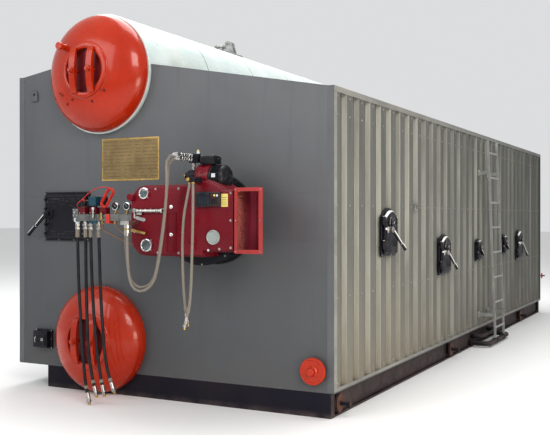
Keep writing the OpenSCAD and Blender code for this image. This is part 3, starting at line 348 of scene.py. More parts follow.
GREY, TRIM, CLAD, JACKET = wall_paint(), trim_angle(), cladding_sheet(), jacket_sheet()
BRAID, RUBBER, GOLD, GLASS, FLOOR = braid_sleeve(), hose_rubber(), plate_gold(), glass_pane(), floor_paint()
ORANGE = paint("drum_orange", (0.41, 0.026, 0.002), (0.30, 0.017, 0.003), 0.24, 0.4, (0.16, 0.05, 0.03),
               0.20, (0.42, 0.20, 0.15), coat=0.45, peel=0.0006, gleam=0.24)
MAROON = paint("cover_maroon", (0.16, 0.012, 0.014), (0.09, 0.010, 0.016), 0.36, 0.5, (0.30, 0.10, 0.06),
               0.25, (0.20, 0.10, 0.09), gleam=0.3)
CRIMSON = paint("burner_crimson", (0.175, 0.005, 0.014), (0.118, 0.005, 0.012), 0.30, 0.5, (0.05, 0.03, 0.03),
                0.14, (0.16, 0.07, 0.07), coat=0.10, gleam=0.22)
RED = paint("intake_red", (0.36, 0.044, 0.042), (0.27, 0.032, 0.032), 0.36, 0.5, (0.25, 0.12, 0.10),
            0.2, (0.35, 0.2, 0.17), coat=0.06, gleam=0.3)
INNER = paint("intake_inner", (0.50, 0.090, 0.145), (0.38, 0.065, 0.105), 0.45, 0.3, (0.25, 0.12, 0.10),
              gleam=0.3)
SKID = paint("skid_black", (0.010, 0.0095, 0.018), (0.018, 0.015, 0.021), 0.50, 0.8, (0.10, 0.055, 0.032),
             0.6, (0.110, 0.084, 0.076), foot=0.05, flank=0.70, gleam=0.16)
BLACK = paint("cast_black", (0.0065, 0.0065, 0.0105), (0.013, 0.0125, 0.018), 0.40, 0.7, (0.13, 0.12, 0.12),
              0.28, (0.085, 0.08, 0.085), peel=0.0012, gleam=0.25)
MOTOR = paint("motor_black", (0.006, 0.007, 0.010), (0.012, 0.012, 0.016), 0.38, 0.6, (0.14, 0.14, 0.14),
              0.25, (0.09, 0.085, 0.085), gleam=0.3)
VALVE = paint("valve_red", (0.14, 0.008, 0.014), (0.09, 0.006, 0.010), 0.33, 0.6, gleam=0.3)
SLATE = paint("panel_slate", (0.020, 0.032, 0.045), (0.014, 0.020, 0.028), 0.30, 0.3)
BROWN = paint("panel_brown", (0.045, 0.024, 0.022), (0.028, 0.016, 0.016), 0.4, 0.2)
TEAL = paint("coil_teal", (0.010, 0.07, 0.10), (0.010, 0.045, 0.07), 0.36, 0.3)
YELLOW = paint("tag_yellow", (0.72, 0.62, 0.20), (0.55, 0.46, 0.14), 0.4, 0.2)
WHITE = paint("tag_white", (0.62, 0.65, 0.66), (0.48, 0.52, 0.53), 0.4, 0.2)
CABLE = paint("cable_red", (0.60, 0.035, 0.020), (0.42, 0.022, 0.014), 0.42, 0.0)
TAG = paint("dial_grey", (0.34, 0.38, 0.36), (0.24, 0.27, 0.26), 0.45, 0.2)
RUST = paint("trunnion_rust", (0.16, 0.065, 0.035), (0.07, 0.035, 0.025), 0.6, 0.4, gleam=0.2)
SOOT = paint("throat_soot", (0.030, 0.026, 0.023), (0.055, 0.045, 0.038), 0.7, 0.3)
STEEL = metal("machined_steel", (0.55, 0.54, 0.52), (0.36, 0.35, 0.33), 0.28)
ZINC = metal("galvanised_steel", (0.38, 0.39, 0.38), (0.26, 0.265, 0.26), 0.42, dirt=0.35, metallic=0.5)
CAST = metal("cast_fitting", (0.20, 0.21, 0.205), (0.10, 0.105, 0.105), 0.42, dirt=0.6, metallic=0.4)
COPPER = metal("copper_pipe", (0.27, 0.17, 0.11), (0.15, 0.095, 0.07), 0.38, dirt=0.5, metallic=0.7)
CHROME = metal("chrome_rim", (0.80, 0.80, 0.80), (0.62, 0.62, 0.62), 0.12, dirt=0.15)
BRASS = metal("brass_fitting", (0.60, 0.42, 0.16), (0.42, 0.27, 0.09), 0.30)
# Near-white metal for the painted highlights on leaves, levers and grips.
BRIGHT = metal("bright_highlight", (0.92, 0.92, 0.90), (0.74, 0.73, 0.70), 0.36, dirt=0.15, metallic=0.25)

FINISHES = [
    (GREY, "front_wall rear_wall right_wall left_wall roof_panels floor_plates flue_collar"),
    (TRIM, "casing_trims"),
    (CLAD, "side_cladding"),
    (JACKET, "drum_jacket"),
    (ORANGE, "steam_drum water_drum steam_drum_front_head water_drum_front_head drum_rear_heads"
             " front_manways rear_manways header_flange"),
    (CRIMSON, "burner_housing"),
    (RED, "air_intake_box"),
    (SKID, "skid_base base_trunnions drain_pipes"),
    (BLACK, "door_frames furnace_door_1 furnace_door_2 furnace_door_3 furnace_port_1 furnace_port_2"
            " access_door door_lever_1 door_lever_2 door_lever_3 access_lever cleanout_box burner_flange"
            " fan_volute"),
    (MOTOR, "blower_motor oil_pump"),
    (SLATE, "control_box"),
    (CHROME, "sight_glasses"),
    (STEEL, "oil_manifold pressure_gauges hose_ends"),
    (VALVE, "oil_valves corner_valve"),
    (ZINC, "ladder drum_top_fitting"),
    (CABLE, "valve_cable cable_lead")]


def dress_nodes():
    """The nodes of the frame get their finishes; those that no piece replaces show them."""
    for material, names in FINISHES:
        for name in names.split():
            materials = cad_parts[name].data.materials
            materials.clear()
            materials.append(material)


# Frames of reference and outlines

MM = Matrix.Scale(0.001, 4)


def front(x, z, out=0):
    """Frame on the front wall: x to the right, y up, z out of the wall."""
    return MM @ Matrix(((1, 0, 0, x), (0, 0, -1, -HALF_L - out), (0, 1, 0, z), (0, 0, 0, 1)))


def side(s, z, out=0):
    """Frame on the furnace side: x to the rear, y up, z out of the wall."""
    return MM @ Matrix(((0, 0, 1, HALF_W + out), (1, 0, 0, s - HALF_L), (0, 1, 0, z), (0, 0, 0, 1)))


def rear(x, z, out=0):
    return MM @ Matrix(((-1, 0, 0, x), (0, 0, 1, HALF_L + out), (0, 1, 0, z), (0, 0, 0, 1)))


def within(place):
    """The same frame for a Shape that is itself in millimetres of the whole part."""
    return MM.inverted() @ place


def shift(x=0.0, y=0.0, z=0.0):
    return Matrix.Translation((x, y, z))


def turn(degrees, axis="Z"):
    return Matrix.Rotation(math.radians(degrees), 4, axis)


def around(count, start=0):
    """Turns about z, evenly spaced."""
    return [turn(360 / count * k + start) for k in range(count)]


UP, DOWN, RIGHT, LEFT = turn(-90, "X"), turn(90, "X"), turn(90, "Y"), turn(-90, "Y")
ON_EDGE = Matrix(((0, 0, 1, 0), (1, 0, 0, 0), (0, 1, 0, 0), (0, 0, 0, 1)))
FLAT = Matrix(((1, 0, 0, 0), (0, 0, 1, 0), (0, 1, 0, 0), (0, 0, 0, 1)))
MIRROR = Matrix.Scale(-1, 4, (1, 0, 0))


def rect(x0, y0, x1, y1):
    return [(x0, y0), (x1, y0), (x1, y1), (x0, y1)]


def arc(cx, cy, r, a0, a1, n):
    return [(cx + r * math.cos(math.radians(a0 + (a1 - a0) * k / n)),
             cy + r * math.sin(math.radians(a0 + (a1 - a0) * k / n))) for k in range(n + 1)]


def rounded(w, h, r):
    """Rectangle about the origin with round corners, counterclockwise; w and h are half sizes."""
    return [p for x, y, a in ((w - r, h - r, 0), (r - w, h - r, 90), (r - w, r - h, 180), (w - r, r - h, 270))
            for p in arc(x, y, r, a, a + 90, 4)]


def at_z(outline, z):
    return [(x, y, z) for x, y in outline]


def grid(xs, ys):
    return [(x, y) for x in xs for y in ys]


class Shape:
    """Closed shells collected in a local frame; each call takes a further transform."""

    def __init__(self, place=MM):
        self.place = place
        self.verts, self.faces, self.slots, self.mats, self.now = [], [], [], [], 0

    def use(self, material):
        if material not in self.mats:
            self.mats.append(material)
        self.now = self.mats.index(material)
        return self

    def add(self, verts, faces, at=None):
        m = self.place @ at if at else self.place
        base = len(self.verts)
        self.verts += [m @ Vector(v) for v in verts]
        self.faces += [[base + i for i in f] for f in faces]
        self.slots += [self.now] * len(faces)
        return self

    def box(self, a, b, at=None):
        verts = [(x, y, z) for z in (a[2], b[2]) for y in (a[1], b[1]) for x in (a[0], b[0])]
        faces = [(0, 2, 3, 1), (4, 5, 7, 6), (0, 1, 5, 4), (2, 6, 7, 3), (0, 4, 6, 2), (1, 3, 7, 5)]
        return self.add(verts, faces, at)

    def stack(self, rings, at=None, closed_round=False):
        """Rings of equal length, one above the other and closed at both ends."""
        n, m = len(rings[0]), len(rings)
        faces = [] if closed_round else [tuple(range(n))[::-1], tuple(range((m - 1) * n, m * n))]
        for k in range(m if closed_round else m - 1):
            a, b = k * n, (k + 1) % m * n
            faces += [(a + i, a + (i + 1) % n, b + (i + 1) % n, b + i) for i in range(n)]
        return self.add([p for ring in rings for p in ring], faces, at)

    def hoop(self, rings, at=None):
        """Rings of equal length joined round in a circle, so that they enclose an opening."""
        return self.stack(rings, at, True)

    def prism(self, outline, z0, z1, at=None):
        return self.stack([at_z(outline, z0), at_z(outline, z1)], at)

    def slab(self, outline, z0, z1, edge=4, at=None):
        """A prism whose front edge is rounded off in two steps."""
        cx = sum(p[0] for p in outline) / len(outline)
        cy = sum(p[1] for p in outline) / len(outline)
        far = [(x, y, math.hypot(x - cx, y - cy) or 1) for x, y in outline]
        rings = [[(x - (x - cx) / d * inset, y - (y - cy) / d * inset, z) for x, y, d in far]
                 for inset, z in ((0, z0), (0, z1 - edge), (edge * 0.3, z1 - edge * 0.3), (edge, z1))]
        return self.stack(rings, at)

    def lathe(self, profile, at=None, n=48, ring=False):
        """Radius and height pairs turned about z; ring joins the last pair to the first."""
        verts, rows, faces = [], [], []
        for r, z in profile:
            if r < 1e-6:
                rows.append([len(verts)] * n)
                verts.append((0, 0, z))
            else:
                rows.append(list(range(len(verts), len(verts) + n)))
                verts += [(r * math.cos(2 * math.pi * k / n), r * math.sin(2 * math.pi * k / n), z)
                          for k in range(n)]
        for a, b in list(zip(rows, rows[1:])) + ([(rows[-1], rows[0])] if ring else []):
            for k in range(n):
                m = (k + 1) % n
                face = tuple(dict.fromkeys((a[k], a[m], b[m], b[k])))
                if len(face) > 2:
                    faces.append(face)
        return self.add(verts, faces, at)

    def rod(self, r, z0, z1, at=None, n=32, c=1.5):
        c = min(c, r * 0.4, abs(z1 - z0) * 0.4)
        return self.lathe([(0, z0), (r - c, z0), (r, z0 + c), (r, z1 - c), (r - c, z1), (0, z1)], at, n)

    def pipe(self, r, bore, z0, z1, at=None, n=32, c=1.5):
        c = min(c, (r - bore) * 0.4)
        return self.lathe([(bore, z0), (r - c, z0), (r, z0 + c), (r, z1 - c), (r - c, z1), (bore + c, z1),
                           (bore, z1 - c)], at, n, True)

    def torus(self, radius, r, z=0, at=None, n=64, m=10):
        return self.lathe([(radius + r * math.cos(2 * math.pi * k / m), z + r * math.sin(2 * math.pi * k / m))
                           for k in range(m)], at, n, True)

    def nut(self, r, z0, z1, at=None):
        return self.lathe([(0, z0), (r, z0), (r, z1 - 1.5), (r * 0.86, z1), (0, z1)], at, 6)

    def bolt(self, x, y, z, r=8.0, at=None):
        """Washer, hexagon head at any turn, and the end of the thread."""
        at = (at or Matrix()) @ shift(x, y, z)
        self.rod(r * 1.45, 0, r * 0.22, at, 20, 0.4)
        self.nut(r * 1.1, r * 0.22, r * 0.95, at @ turn(rng.uniform(0, 60)))
        return self.rod(r * 0.55, r * 0.9, r * 1.25, at, 12, 0.6)

    def bolts(self, spots, z, r, at=None):
        for x, y in spots:
            self.bolt(x, y, z, r, at)
        return self

    def tube(self, points, r, n=12, at=None):
        pts = [Vector(p) for p in points]
        rows, up = [], None
        for before, p, after in zip(pts[:1] + pts, pts, pts[1:] + pts[-1:]):
            d = (after - before).normalized()
            if up is None:
                up = d.orthogonal().normalized()
            up = (up - d * up.dot(d)).normalized()
            w = d.cross(up)
            rows.append([p + (up * math.cos(2 * math.pi * k / n) + w * math.sin(2 * math.pi * k / n)) * r
                         for k in range(n)])
        return self.stack(rows, at)


SMOOTH_UP_TO, BEVEL_FROM = math.radians(38), math.radians(40)


def seat(obj, body, replaces):
    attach(obj, body)
    for node in replaces:
        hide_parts(node)
    return obj


def piece(shape, name, body="root", bevel=0.0, replaces=(), segments=2):
    """Turn the shape into an object that rides the body and stands for the nodes it replaces."""
    mesh = bpy.data.meshes.new(name)
    mesh.from_pydata([tuple(v) for v in shape.verts], [], shape.faces)
    for material in shape.mats:
        mesh.materials.append(material)
    mesh.polygons.foreach_set("material_index", shape.slots)
    work = bmesh.new()
    work.from_mesh(mesh)
    bmesh.ops.recalc_face_normals(work, faces=work.faces)
    work.to_mesh(mesh)
    work.free()
    mesh.polygons.foreach_set("use_smooth", [True] * len(mesh.polygons))
    mesh.set_sharp_from_angle(angle=SMOOTH_UP_TO)
    obj = link(name, mesh)
    if bevel:
        soft = obj.modifiers.new("soft_edges", "BEVEL")
        soft.width, soft.segments = bevel / 1000, segments
        soft.limit_method, soft.angle_limit = "ANGLE", BEVEL_FROM
        soft.use_clamp_overlap = soft.harden_normals = True
    return seat(obj, body, replaces)


def smooth_path(points, count):
    """Catmull-Rom curve through the points, resampled evenly."""
    p = [Vector(q) for q in points]
    p = [p[0] * 2 - p[1]] + p + [p[-1] * 2 - p[-2]]
    fine = []
    for i in range(1, len(p) - 2):
        for k in range(16):
            t = k / 16
            fine.append(0.5 * (2 * p[i] + (p[i + 1] - p[i - 1]) * t
                               + (2 * p[i - 1] - 5 * p[i] + 4 * p[i + 1] - p[i + 2]) * t * t
                               + (3 * p[i] - p[i - 1] - 3 * p[i + 1] + p[i + 2]) * t ** 3))
    fine.append(p[-2])
    lengths = [0.0]
    for a, b in zip(fine, fine[1:]):
        lengths.append(lengths[-1] + (b - a).length)
    out, j = [], 0
    for k in range(count):
        want = lengths[-1] * k / (count - 1)
        while j < len(fine) - 2 and lengths[j + 1] < want:
            j += 1
        span = lengths[j + 1] - lengths[j]
        out.append(fine[j].lerp(fine[j + 1], min(1.0, (want - lengths[j]) / span)))
    return out


# Hoses; a route is in millimetres, from the exit to the far end

HANG_Y, LOOP_Y = -HALF_L - 444, -HALF_L - 590
OIL_HOSE, BRAID_HOSE, CABLE_THICK = 25, 20, 7


def at_depth(y, pairs):
    return [(x, y, z) for x, z in pairs]


OIL_ROUTES = [at_depth(HANG_Y, pairs) for pairs in (
    [(-515, 1395), (-515, 1330), (-512, 1200), (-504, 980), (-489, 750), (-472, 530), (-454, 330),
     (-435, 175), (-413, 86)],
    [(-432, 1395), (-432, 1330), (-431, 1200), (-427, 980), (-420, 750), (-409, 505), (-389, 345),
     (-364, 220), (-341, 146)],
    [(-379, 1395), (-379, 1330), (-376, 1200), (-366, 980), (-350, 750), (-323, 505), (-301, 345),
     (-279, 230), (-261, 161)],
    [(-297, 1395), (-297, 1330), (-292, 1200), (-282, 950), (-262, 660), (-242, 450), (-217, 315),
     (-192, 240), (-171, 191)])]
SUPPLY_ROUTES = [
    at_depth(LOOP_Y, [(550, 1958), (540, 1958), (514, 1950), (490, 1932), (474, 1904), (470, 1870),
                      (468, 1790), (451, 1640), (424, 1447), (387, 1230), (357, 1095), (328, 1037),
                      (290, 1002), (245, 986), (202, 985), (162, 1003), (130, 1038), (108, 1100),
                      (92, 1195), (80, 1310), (80, 1379)]),
    at_depth(LOOP_Y - 26, [(550, 1986), (540, 1986), (514, 1978), (491, 1960), (477, 1932), (474, 1896),
                           (477, 1800), (470, 1640), (448, 1440), (410, 1220), (376, 1080), (348, 1022),
                           (306, 982), (257, 961), (212, 959), (174, 979), (146, 1018), (129, 1080),
                           (119, 1185), (114, 1305), (114, 1375)])]
RETURN_ROUTES = [
    at_depth(LOOP_Y, [(662, 1775), (662, 1755), (642, 1670), (612, 1520), (600, 1340), (602, 1150),
                      (610, 990), (622, 870), (636, 795)]),
    [(692, LOOP_Y, 1775), (692, LOOP_Y, 1755), (696, LOOP_Y - 6, 1670), (702, LOOP_Y - 18, 1500),
     (706, LOOP_Y - 32, 1320), (707, LOOP_Y - 42, 1150), (700, LOOP_Y - 42, 990), (686, LOOP_Y - 42, 865),
     (664, LOOP_Y - 42, 775)]]


def add_cord(name, nodes, route, diameter, material, slot, far_end, stiffness, lay, points=36, facets=5):
    line = smooth_path([Vector(p) / 1000 for p in route], points)
    data = bpy.data.curves.new(name, "CURVE")
    data.dimensions = "3D"
    data.bevel_depth = diameter / 2000
    data.bevel_resolution = facets
    data.use_fill_caps = True
    spline = data.splines.new("POLY")
    spline.points.add(len(line) - 1)
    for point, where in zip(spline.points, line):
        point.co = (*where, 1)
    data.materials.append(material)
    obj = seat(link(name, data), "root", nodes)
    on_it = [far_fitting(name + "_end", route, diameter / 2)] if far_end == "fitting" else []


def far_fitting(name, route, r):
    """Crimped sleeve, hexagon and thread on the free end of a hose."""
    end, before = Vector(route[-1]), Vector(route[-2])
    along = (end - before).normalized().to_track_quat("Z", "Y").to_matrix().to_4x4()
    at = shift(*end) @ along
    s = Shape().use(STEEL)
    s.use(BRAID).pipe(r + 3.5, r - 2, -13, 13, shift(*end.lerp(before, 0.62)) @ along, 28, 3)
    crimps = [(r + (3 if k % 2 else 4), 4 * k) for k in range(2, 7)]
    s.use(STEEL).lathe([(r + 1, -14), (r + 4, -12), (r + 4, 2), (r + 3, 5), *crimps,
                        (r + 4, 44), (r, 46), (r + 1, 46), (r + 1, -14)], at, 28)
    s.nut(r + 8, 46, 66, at)
    s.use(BRASS).rod(r - 1, 66, 70, at, 24)
    for k in range(4):
        s.torus(r - 1.5, 1.4, 71.5 + 3.2 * k, at, 24, 6)
    s.pipe(r - 1, r - 5, 66, 84, at, 24)
    return piece(s, name, replaces=["hose_ends"])


def add_hoses():
    braided = (BRAID_HOSE, BRAID, "hose_braid")
    for routes, name, node, *facts in (
            (OIL_ROUTES, "oil_hose_", "black_hose_", OIL_HOSE, RUBBER, "hose_rubber", "fitting", "stiff"),
            (SUPPLY_ROUTES, "supply_hose_", "loop_hose_", *braided, "object", "medium"),
            (RETURN_ROUTES, "return_hose_", "tail_hose_", *braided, "fitting", "medium")):
        for i, route in enumerate(routes, 1):
            add_cord(f"{name}{i}", [f"{node}{i}"], route, *facts, "hanging")


# Drum heads and manways

HOLE_R, RING_R = 186, 232
SCARS = ((-290, -174), (-262, -192), (-212, -269), (-140, -236), (72, -262), (165, -169), (200, -179))


def dish(r, at):
    return r * DISH * math.sqrt(max(0.0, 1 - (at / r) ** 2))


def on_dish(r, x, y):
    """Frame on the elliptical head with z along its normal."""
    z = dish(r, math.hypot(x, y))
    normal = Vector((x / r ** 2, y / r ** 2, z / (r * DISH) ** 2))
    return shift(x, y, z) @ normal.to_track_quat("Z", "Y").to_matrix().to_4x4()


def add_head(s, r, at=None):
    """Elliptical head with a rounded manway ring, the welds at its foot and at the drum."""
    top = dish(r, HOLE_R) + RING_RISE
    line = [(HOLE_R, 60), (HOLE_R, top - 5), (HOLE_R + 2, top - 1.5), (HOLE_R + 5, top), (RING_R - 6, top),
            (RING_R - 2, top - 2), (RING_R, top - 6), (RING_R, dish(r, RING_R) + 7),
            (RING_R + 2.5, dish(r, RING_R) + 3), (RING_R + 8, dish(r, RING_R + 8) + 0.5)]
    first = math.acos((RING_R + 11) / r)
    for k in range(45):
        a = first * (1 - k / 44)
        line.append((r * math.cos(a), r * DISH * math.sin(a)))
    s.use(ORANGE).lathe(line + [(r, -6), (HOLE_R, -6)], at, 144, True)
    s.torus(r - 0.5, 3.2, -1.5, at, 144, 8)


def add_manway(s, r, at):
    """Inward cover with its gasket line, two arched yokes, studs, washers and nuts."""
    top = dish(r, HOLE_R) + RING_RISE
    s.use(MAROON).lathe([(0, top - 64), (180, top - 64), (185, top - 60), (185, top - 47), (181, top - 43),
                         (150, top - 43), (132, top - 38), (60, top - 33), (0, top - 32)], at, 96)
    s.use(BLACK).torus(HOLE_R - 1, 2.6, top - 45, at, 96, 8)
    crown = [(y, 14 + 32 * math.cos(math.pi / 2 * y / 190) ** 0.75) for y in range(190, -191, -19)]
    foot = [(-190, 0.6), (-180, 0.6), (-170, 9), (170, 9), (180, 0.6), (190, 0.6)]
    for x in (-90, 90):
        stud = at @ shift(x, 0)
        s.use(ORANGE).prism(foot + crown, -30, 30, at @ shift(x, 0, top) @ ON_EDGE)
        s.pipe(35, 17, top + 45.5, top + 51, stud, 32)
        s.nut(27, top + 50, top + 68, stud @ turn(rng.uniform(0, 60)))
        s.rod(15.5, top - 44, top + 78, stud, 24)
        for k in range(3):
            s.torus(15, 1.3, top + 70 + 3 * k, stud, 24, 6)


def add_front_heads():
    """The steam drum's head also has a flanged stub and the scars of removed studs."""
    s = Shape(front(DRUM_X, STEAM_Z, DRUM_PROUD))
    add_head(s, STEAM_R)
    stub = shift(-228, 218)
    s.lathe([(0, 140), (30, 140), (30, 168), (24, 176), (24, 226), (30, 230), (33, 233), (33, 252), (30, 256),
             (14, 256), (11, 252), (0, 252)], stub, 40)
    s.torus(29, 4, 166, stub, 40, 8)
    for x, y in SCARS:
        s.use(ORANGE).pipe(15, 9.5, -8, 5, on_dish(STEAM_R, x, y), 20)
        # The black disc in each ring is painted shade for the empty stud hole.
        s.use(BLACK).rod(9.4, -6, 1.5, on_dish(STEAM_R, x, y), 16)
    piece(s, "steam_head", replaces=["steam_drum_front_head"])
    s = Shape(front(DRUM_X, WATER_Z, DRUM_PROUD))
    add_head(s, WATER_R)
    piece(s, "water_head", replaces=["water_drum_front_head"])


def add_rear_heads_and_manways():
    heads, rear_covers, front_covers = Shape(), Shape(), Shape()
    for z, r in ((STEAM_Z, STEAM_R), (WATER_Z, WATER_R)):
        local = within(rear(DRUM_X, z, DRUM_PROUD))
        add_head(heads, r, local)
        add_manway(rear_covers, r, local)
        add_manway(front_covers, r, within(front(DRUM_X, z, DRUM_PROUD)))
    piece(heads, "rear_heads", replaces=["drum_rear_heads"])
    for where, s in (("front", front_covers), ("rear", rear_covers)):
        piece(s, f"manway_covers_{where}", bevel=6, replaces=[f"{where}_manways"], segments=3)


# Burner; FACE is how far its front stands out of the casing, ALONG_X lies on the shaft of the motor

BURNER = front(BURNER_X, BURNER_Z)
FACE = 494
FAN_X, FAN_Y, FAN_R = 150, -8, 275
NOSE_L, NOSE_LOW, NOSE_HIGH, NOSE_R = -515, -315, 232, 130
BELL_R, MOTOR_X = 105, 175
ALONG_X = shift(0, 282, 362) @ RIGHT


def housing_outline(inset=0.0):
    """Box with round corners on the left that runs into the round fan cover and the inlet duct."""
    i = inset
    out = arc(NOSE_L + NOSE_R, NOSE_LOW + NOSE_R, NOSE_R - i, 180, 270, 12)
    out += [(FAN_X - i * 0.2, NOSE_LOW + i), (FAN_X + 6 - i * 0.2, -280 + i)]
    out += arc(FAN_X, FAN_Y, FAN_R - i, 272, 283, 3)
    out += [(430 - i, -275 + i), (430 - i, 195 - i)]
    out += arc(FAN_X, FAN_Y, FAN_R - i, 47, 119, 22)
    return out + arc(NOSE_L + NOSE_R, NOSE_HIGH - NOSE_R, NOSE_R - i, 90, 180, 12)


def layers(steps):
    return [at_z(housing_outline(i), z) for i, z in steps]


def share(a, low, high):
    return min(1.0, max(0.0, (a - low) / (high - low)))


def scroll_point(a, inset):
    """Point of the fan's snail shell: its radius grows from 100 to 230 degrees and falls after 380."""
    r = 255 + 110 * share(a, 100, 230) - 60 * share(a, 380, 460) - inset
    return (r * math.cos(math.radians(a)) - 8, r * math.sin(math.radians(a)) - 28)


def scroll(inset, seam=0):
    return [scroll_point(a, inset) for a in range(100 - seam, 461 - seam, 9)]


def add_housing(s):
    """Rounded housing with its raised cover, the block behind it, the bell and foot of the motor."""
    s.use(CRIMSON).stack(layers([(4, 254), (0, 258), (0, 458), (1.5, 462.5), (6, 464.6)]))
    fillet = [(14 + 12 * (1 - math.cos(a * math.pi / 8)), FACE - 12 + 12 * math.sin(a * math.pi / 8))
              for a in range(5)]
    s.stack(layers([(14, 462)] + fillet))
    block = arc(-385, -185, 110, 180, 270, 8) + [scroll_point(a, -4) for a in range(226, 113, -8)]
    s.prism(block + arc(-385, 102, 110, 90, 180, 8), 26, 256)
    s.lathe([(0, 60), (96, 60), (103, 63), (BELL_R, 70), (BELL_R, 100), (BELL_R - 4, 104),
             (BELL_R - 4, 132), (BELL_R, 136), (BELL_R, MOTOR_X - 4), (BELL_R - 3, MOTOR_X - 0.5),
             (0, MOTOR_X - 0.5)], ALONG_X, 72)
    s.slab(rect(60, 150, MOTOR_X, 282), 258, 432, 10)
    for y in (-178, 96):
        s.box((-500, y - 7, 300), (-508, y + 7, 430))


def add_cover_fittings(s):
    """Screws, air vent with its frame, small door, ribbed knob and buttons on the cover."""
    for x, y in ((-126, 62), (-126, -148)):
        s.use(CHROME).lathe([(17, 0), (17, 4), (15, 8), (10, 11), (0, 12)], shift(x, y, FACE - 0.5), 28)
    s.use(STEEL).bolts(((-470, -130), (-470, 20), (-270, 200), (-60, 200), (-250, -288), (-60, -288),
                        (396, 160), (396, -240), (396, -40), (300, -252)), FACE - 0.8, 7)
    s.use(CRIMSON)
    for x0, y0, x1, y1 in ((-163, 12, -79, 18), (-163, -280, -79, -274), (-163, -280, -157, 18),
                           (-85, -280, -79, 18)):
        s.box((x0, y0, FACE - 1), (x1, y1, FACE + 5))
    for y in (-240, -200, -100, -60, -20):
        s.box((-150, y, FACE - 1), (-92, y + 12, FACE + 2.5))
    s.slab([(32, -209), (95, -209), (95, -173), (32, -173)], FACE - 1, FACE + 10, 5)
    knob = shift(-496, 138)
    for k in range(6):
        s.torus(24.5, 4, 482 + 7.5 * k, knob, 36, 8)
    s.rod(25, 460, 524, knob, 36, 5)
    s.use(WHITE).rod(9, FACE - 1, FACE + 5, shift(205, -261), 20)
    s.use(BLACK).rod(7, FACE - 1, FACE + 3, shift(-20, 120), 18)


def add_burner_body():
    s = Shape(BURNER)
    add_housing(s)
    add_cover_fittings(s)
    piece(s, "burner_body", bevel=2.5, replaces=["burner_housing"])


def add_fan():
    """Snail shell between two flanges that are bolted through."""
    s = Shape(BURNER).use(BLACK)
    s.prism(scroll(16, 4), 24, 254)
    s.prism(scroll(0), 24.4, 38)
    s.prism(scroll(0), 240, 253.6)
    for x, y in scroll(9)[3:39:4]:
        s.use(STEEL).bolt(x, y, 253.4, 5.5)
        s.use(BLACK).rod(5, 38, 240, shift(x, y), 12)
    piece(s, "fan_scroll", bevel=2, replaces=["fan_volute"])


INLET_X0, INLET_X1, INLET_Y0, INLET_Y1, INLET_P0, INLET_P1 = 430, 654, -272, 190, 260, 500


def add_intake():
    """Inlet duct of thin sheet with an open mouth: walls, slanting back, front frame, lips and bolts."""
    x0, x1, y0, y1, p0, p1 = INLET_X0, INLET_X1, INLET_Y0, INLET_Y1, INLET_P0, INLET_P1
    bend, edge = p1 - 24, p1 - 3
    s = Shape(BURNER).use(RED)
    wedge = [(x0, p0), (x0 + 60, p0), (x1 - 0.4, bend), (x1 - 0.4, edge), (x0, edge)]
    for y in (y0 + 0.4, y1 - 5.4):
        s.prism(wedge, y, y + 5, FLAT)
    s.use(INNER).box((x0 + 0.4, y0 + 5.5, p0 + 0.4), (x0 + 5.4, y1 - 5.5, edge))
    back = [(x0 + 5.4, p0), (x0 + 60, p0), (x1 - 0.4, bend), (x1 - 0.4, edge), (x1 - 5, edge),
            (x1 - 5, bend + 2), (x0 + 57, p0 + 5), (x0 + 5.4, p0 + 5)]
    s.prism(back, y0 + 5.5, y1 - 5.5, FLAT)
    s.use(RED)
    for a0, b0, a1, b1 in ((x0, y0 - 10, x0 + 26, y1 + 10), (x1 - 22, y0 - 10, x1 + 8, y1 + 10),
                           (x0 + 26, y0 - 10, x1 - 22, y0 + 20), (x0 + 26, y1 - 18, x1 - 22, y1 + 10)):
        s.box((a0, b0, p1 - 8), (a1, b1, p1))
    for y in (y0 + 6, y1 - 14):
        s.box((x0 + 8, y, 400), (x0 + 156, y + 8, 412))
    corners = grid((x0 + 12, x1 - 6), (y0 + 5, y1 - 4))
    s.use(STEEL).bolts(corners + [(x0 + 12, -40), (x1 - 6, -40)], p1 - 1.5, 5)
    piece(s, "intake_duct", bevel=1.5, replaces=["air_intake_box"])


def add_guard():
    """Perforated sheet on the duct's inner wall: rows of small eyelets, each second row set off."""
    wall = shift(INLET_X0 + 5.4) @ RIGHT
    s = Shape(BURNER).use(INNER).box((-468, INLET_Y0 + 14, 0), (-322, INLET_Y1 - 14, 2), wall)
    for row in range(24):
        for column in range(6 - row % 2):
            spot = wall @ shift(-455 + 24 * column + 12 * (row % 2), INLET_Y0 + 24 + 18.2 * row)
            s.use(BRASS if (row * 5 + column * 3) % 4 else STEEL).pipe(8.2, 5.4, 1.5, 4.2, spot, 10, 0.8)
            # The black disc in each eyelet is painted shade for the hole.
            s.use(BLACK).rod(5.4, 1.5, 2.4, spot, 8, 0.3)
    piece(s, "intake_guard")


def add_motor():
    """Motor with cooling ribs and end cover, its terminal box with lid and gland, a blank tag."""
    s = Shape(BURNER).use(MOTOR)
    shaft = ALONG_X @ shift(0, 0, MOTOR_X)
    s.rod(85, 0.5, 90, shaft, 64, 2)
    s.lathe([(0, 0.5), (94, 0.5), (98, 4), (98, 14), (95, 17), (0, 17)], shaft, 64)
    s.lathe([(0, 88), (92, 88), (95, 91), (95, 98), (92, 108), (80, 120), (60, 128), (0, 128)], shaft, 64)
    for way in around(48):
        s.box((84, -1.5, 17), (97, 1.5, 89), shaft @ way)
    for r in (22, 34, 46, 58):
        s.torus(r, 2.2, 127, shaft, 48, 6)
    s.box((112, 368, 330), (176, 392, 398))
    s.slab(rect(82, 386, 203, 440), 304, 420, 6)
    s.slab(rect(89, 394, 196, 449), 312, 412, 8)
    for x, p in grid((95, 190), (318, 406)):
        s.use(STEEL).rod(5, 448, 451.5, shift(x, 0, p) @ UP, 12, 0.8)
    gland = shift(203, 416, 360) @ RIGHT
    s.use(BLACK).pipe(13, 8, 0, 24, gland, 20)
    s.torus(12, 2.5, 8, gland, 24, 6)
    s.use(WHITE).box((208, 281, 459.2), (242, 311, 460.4))
    piece(s, "blower_motor_unit", bevel=1.5, replaces=["blower_motor"])


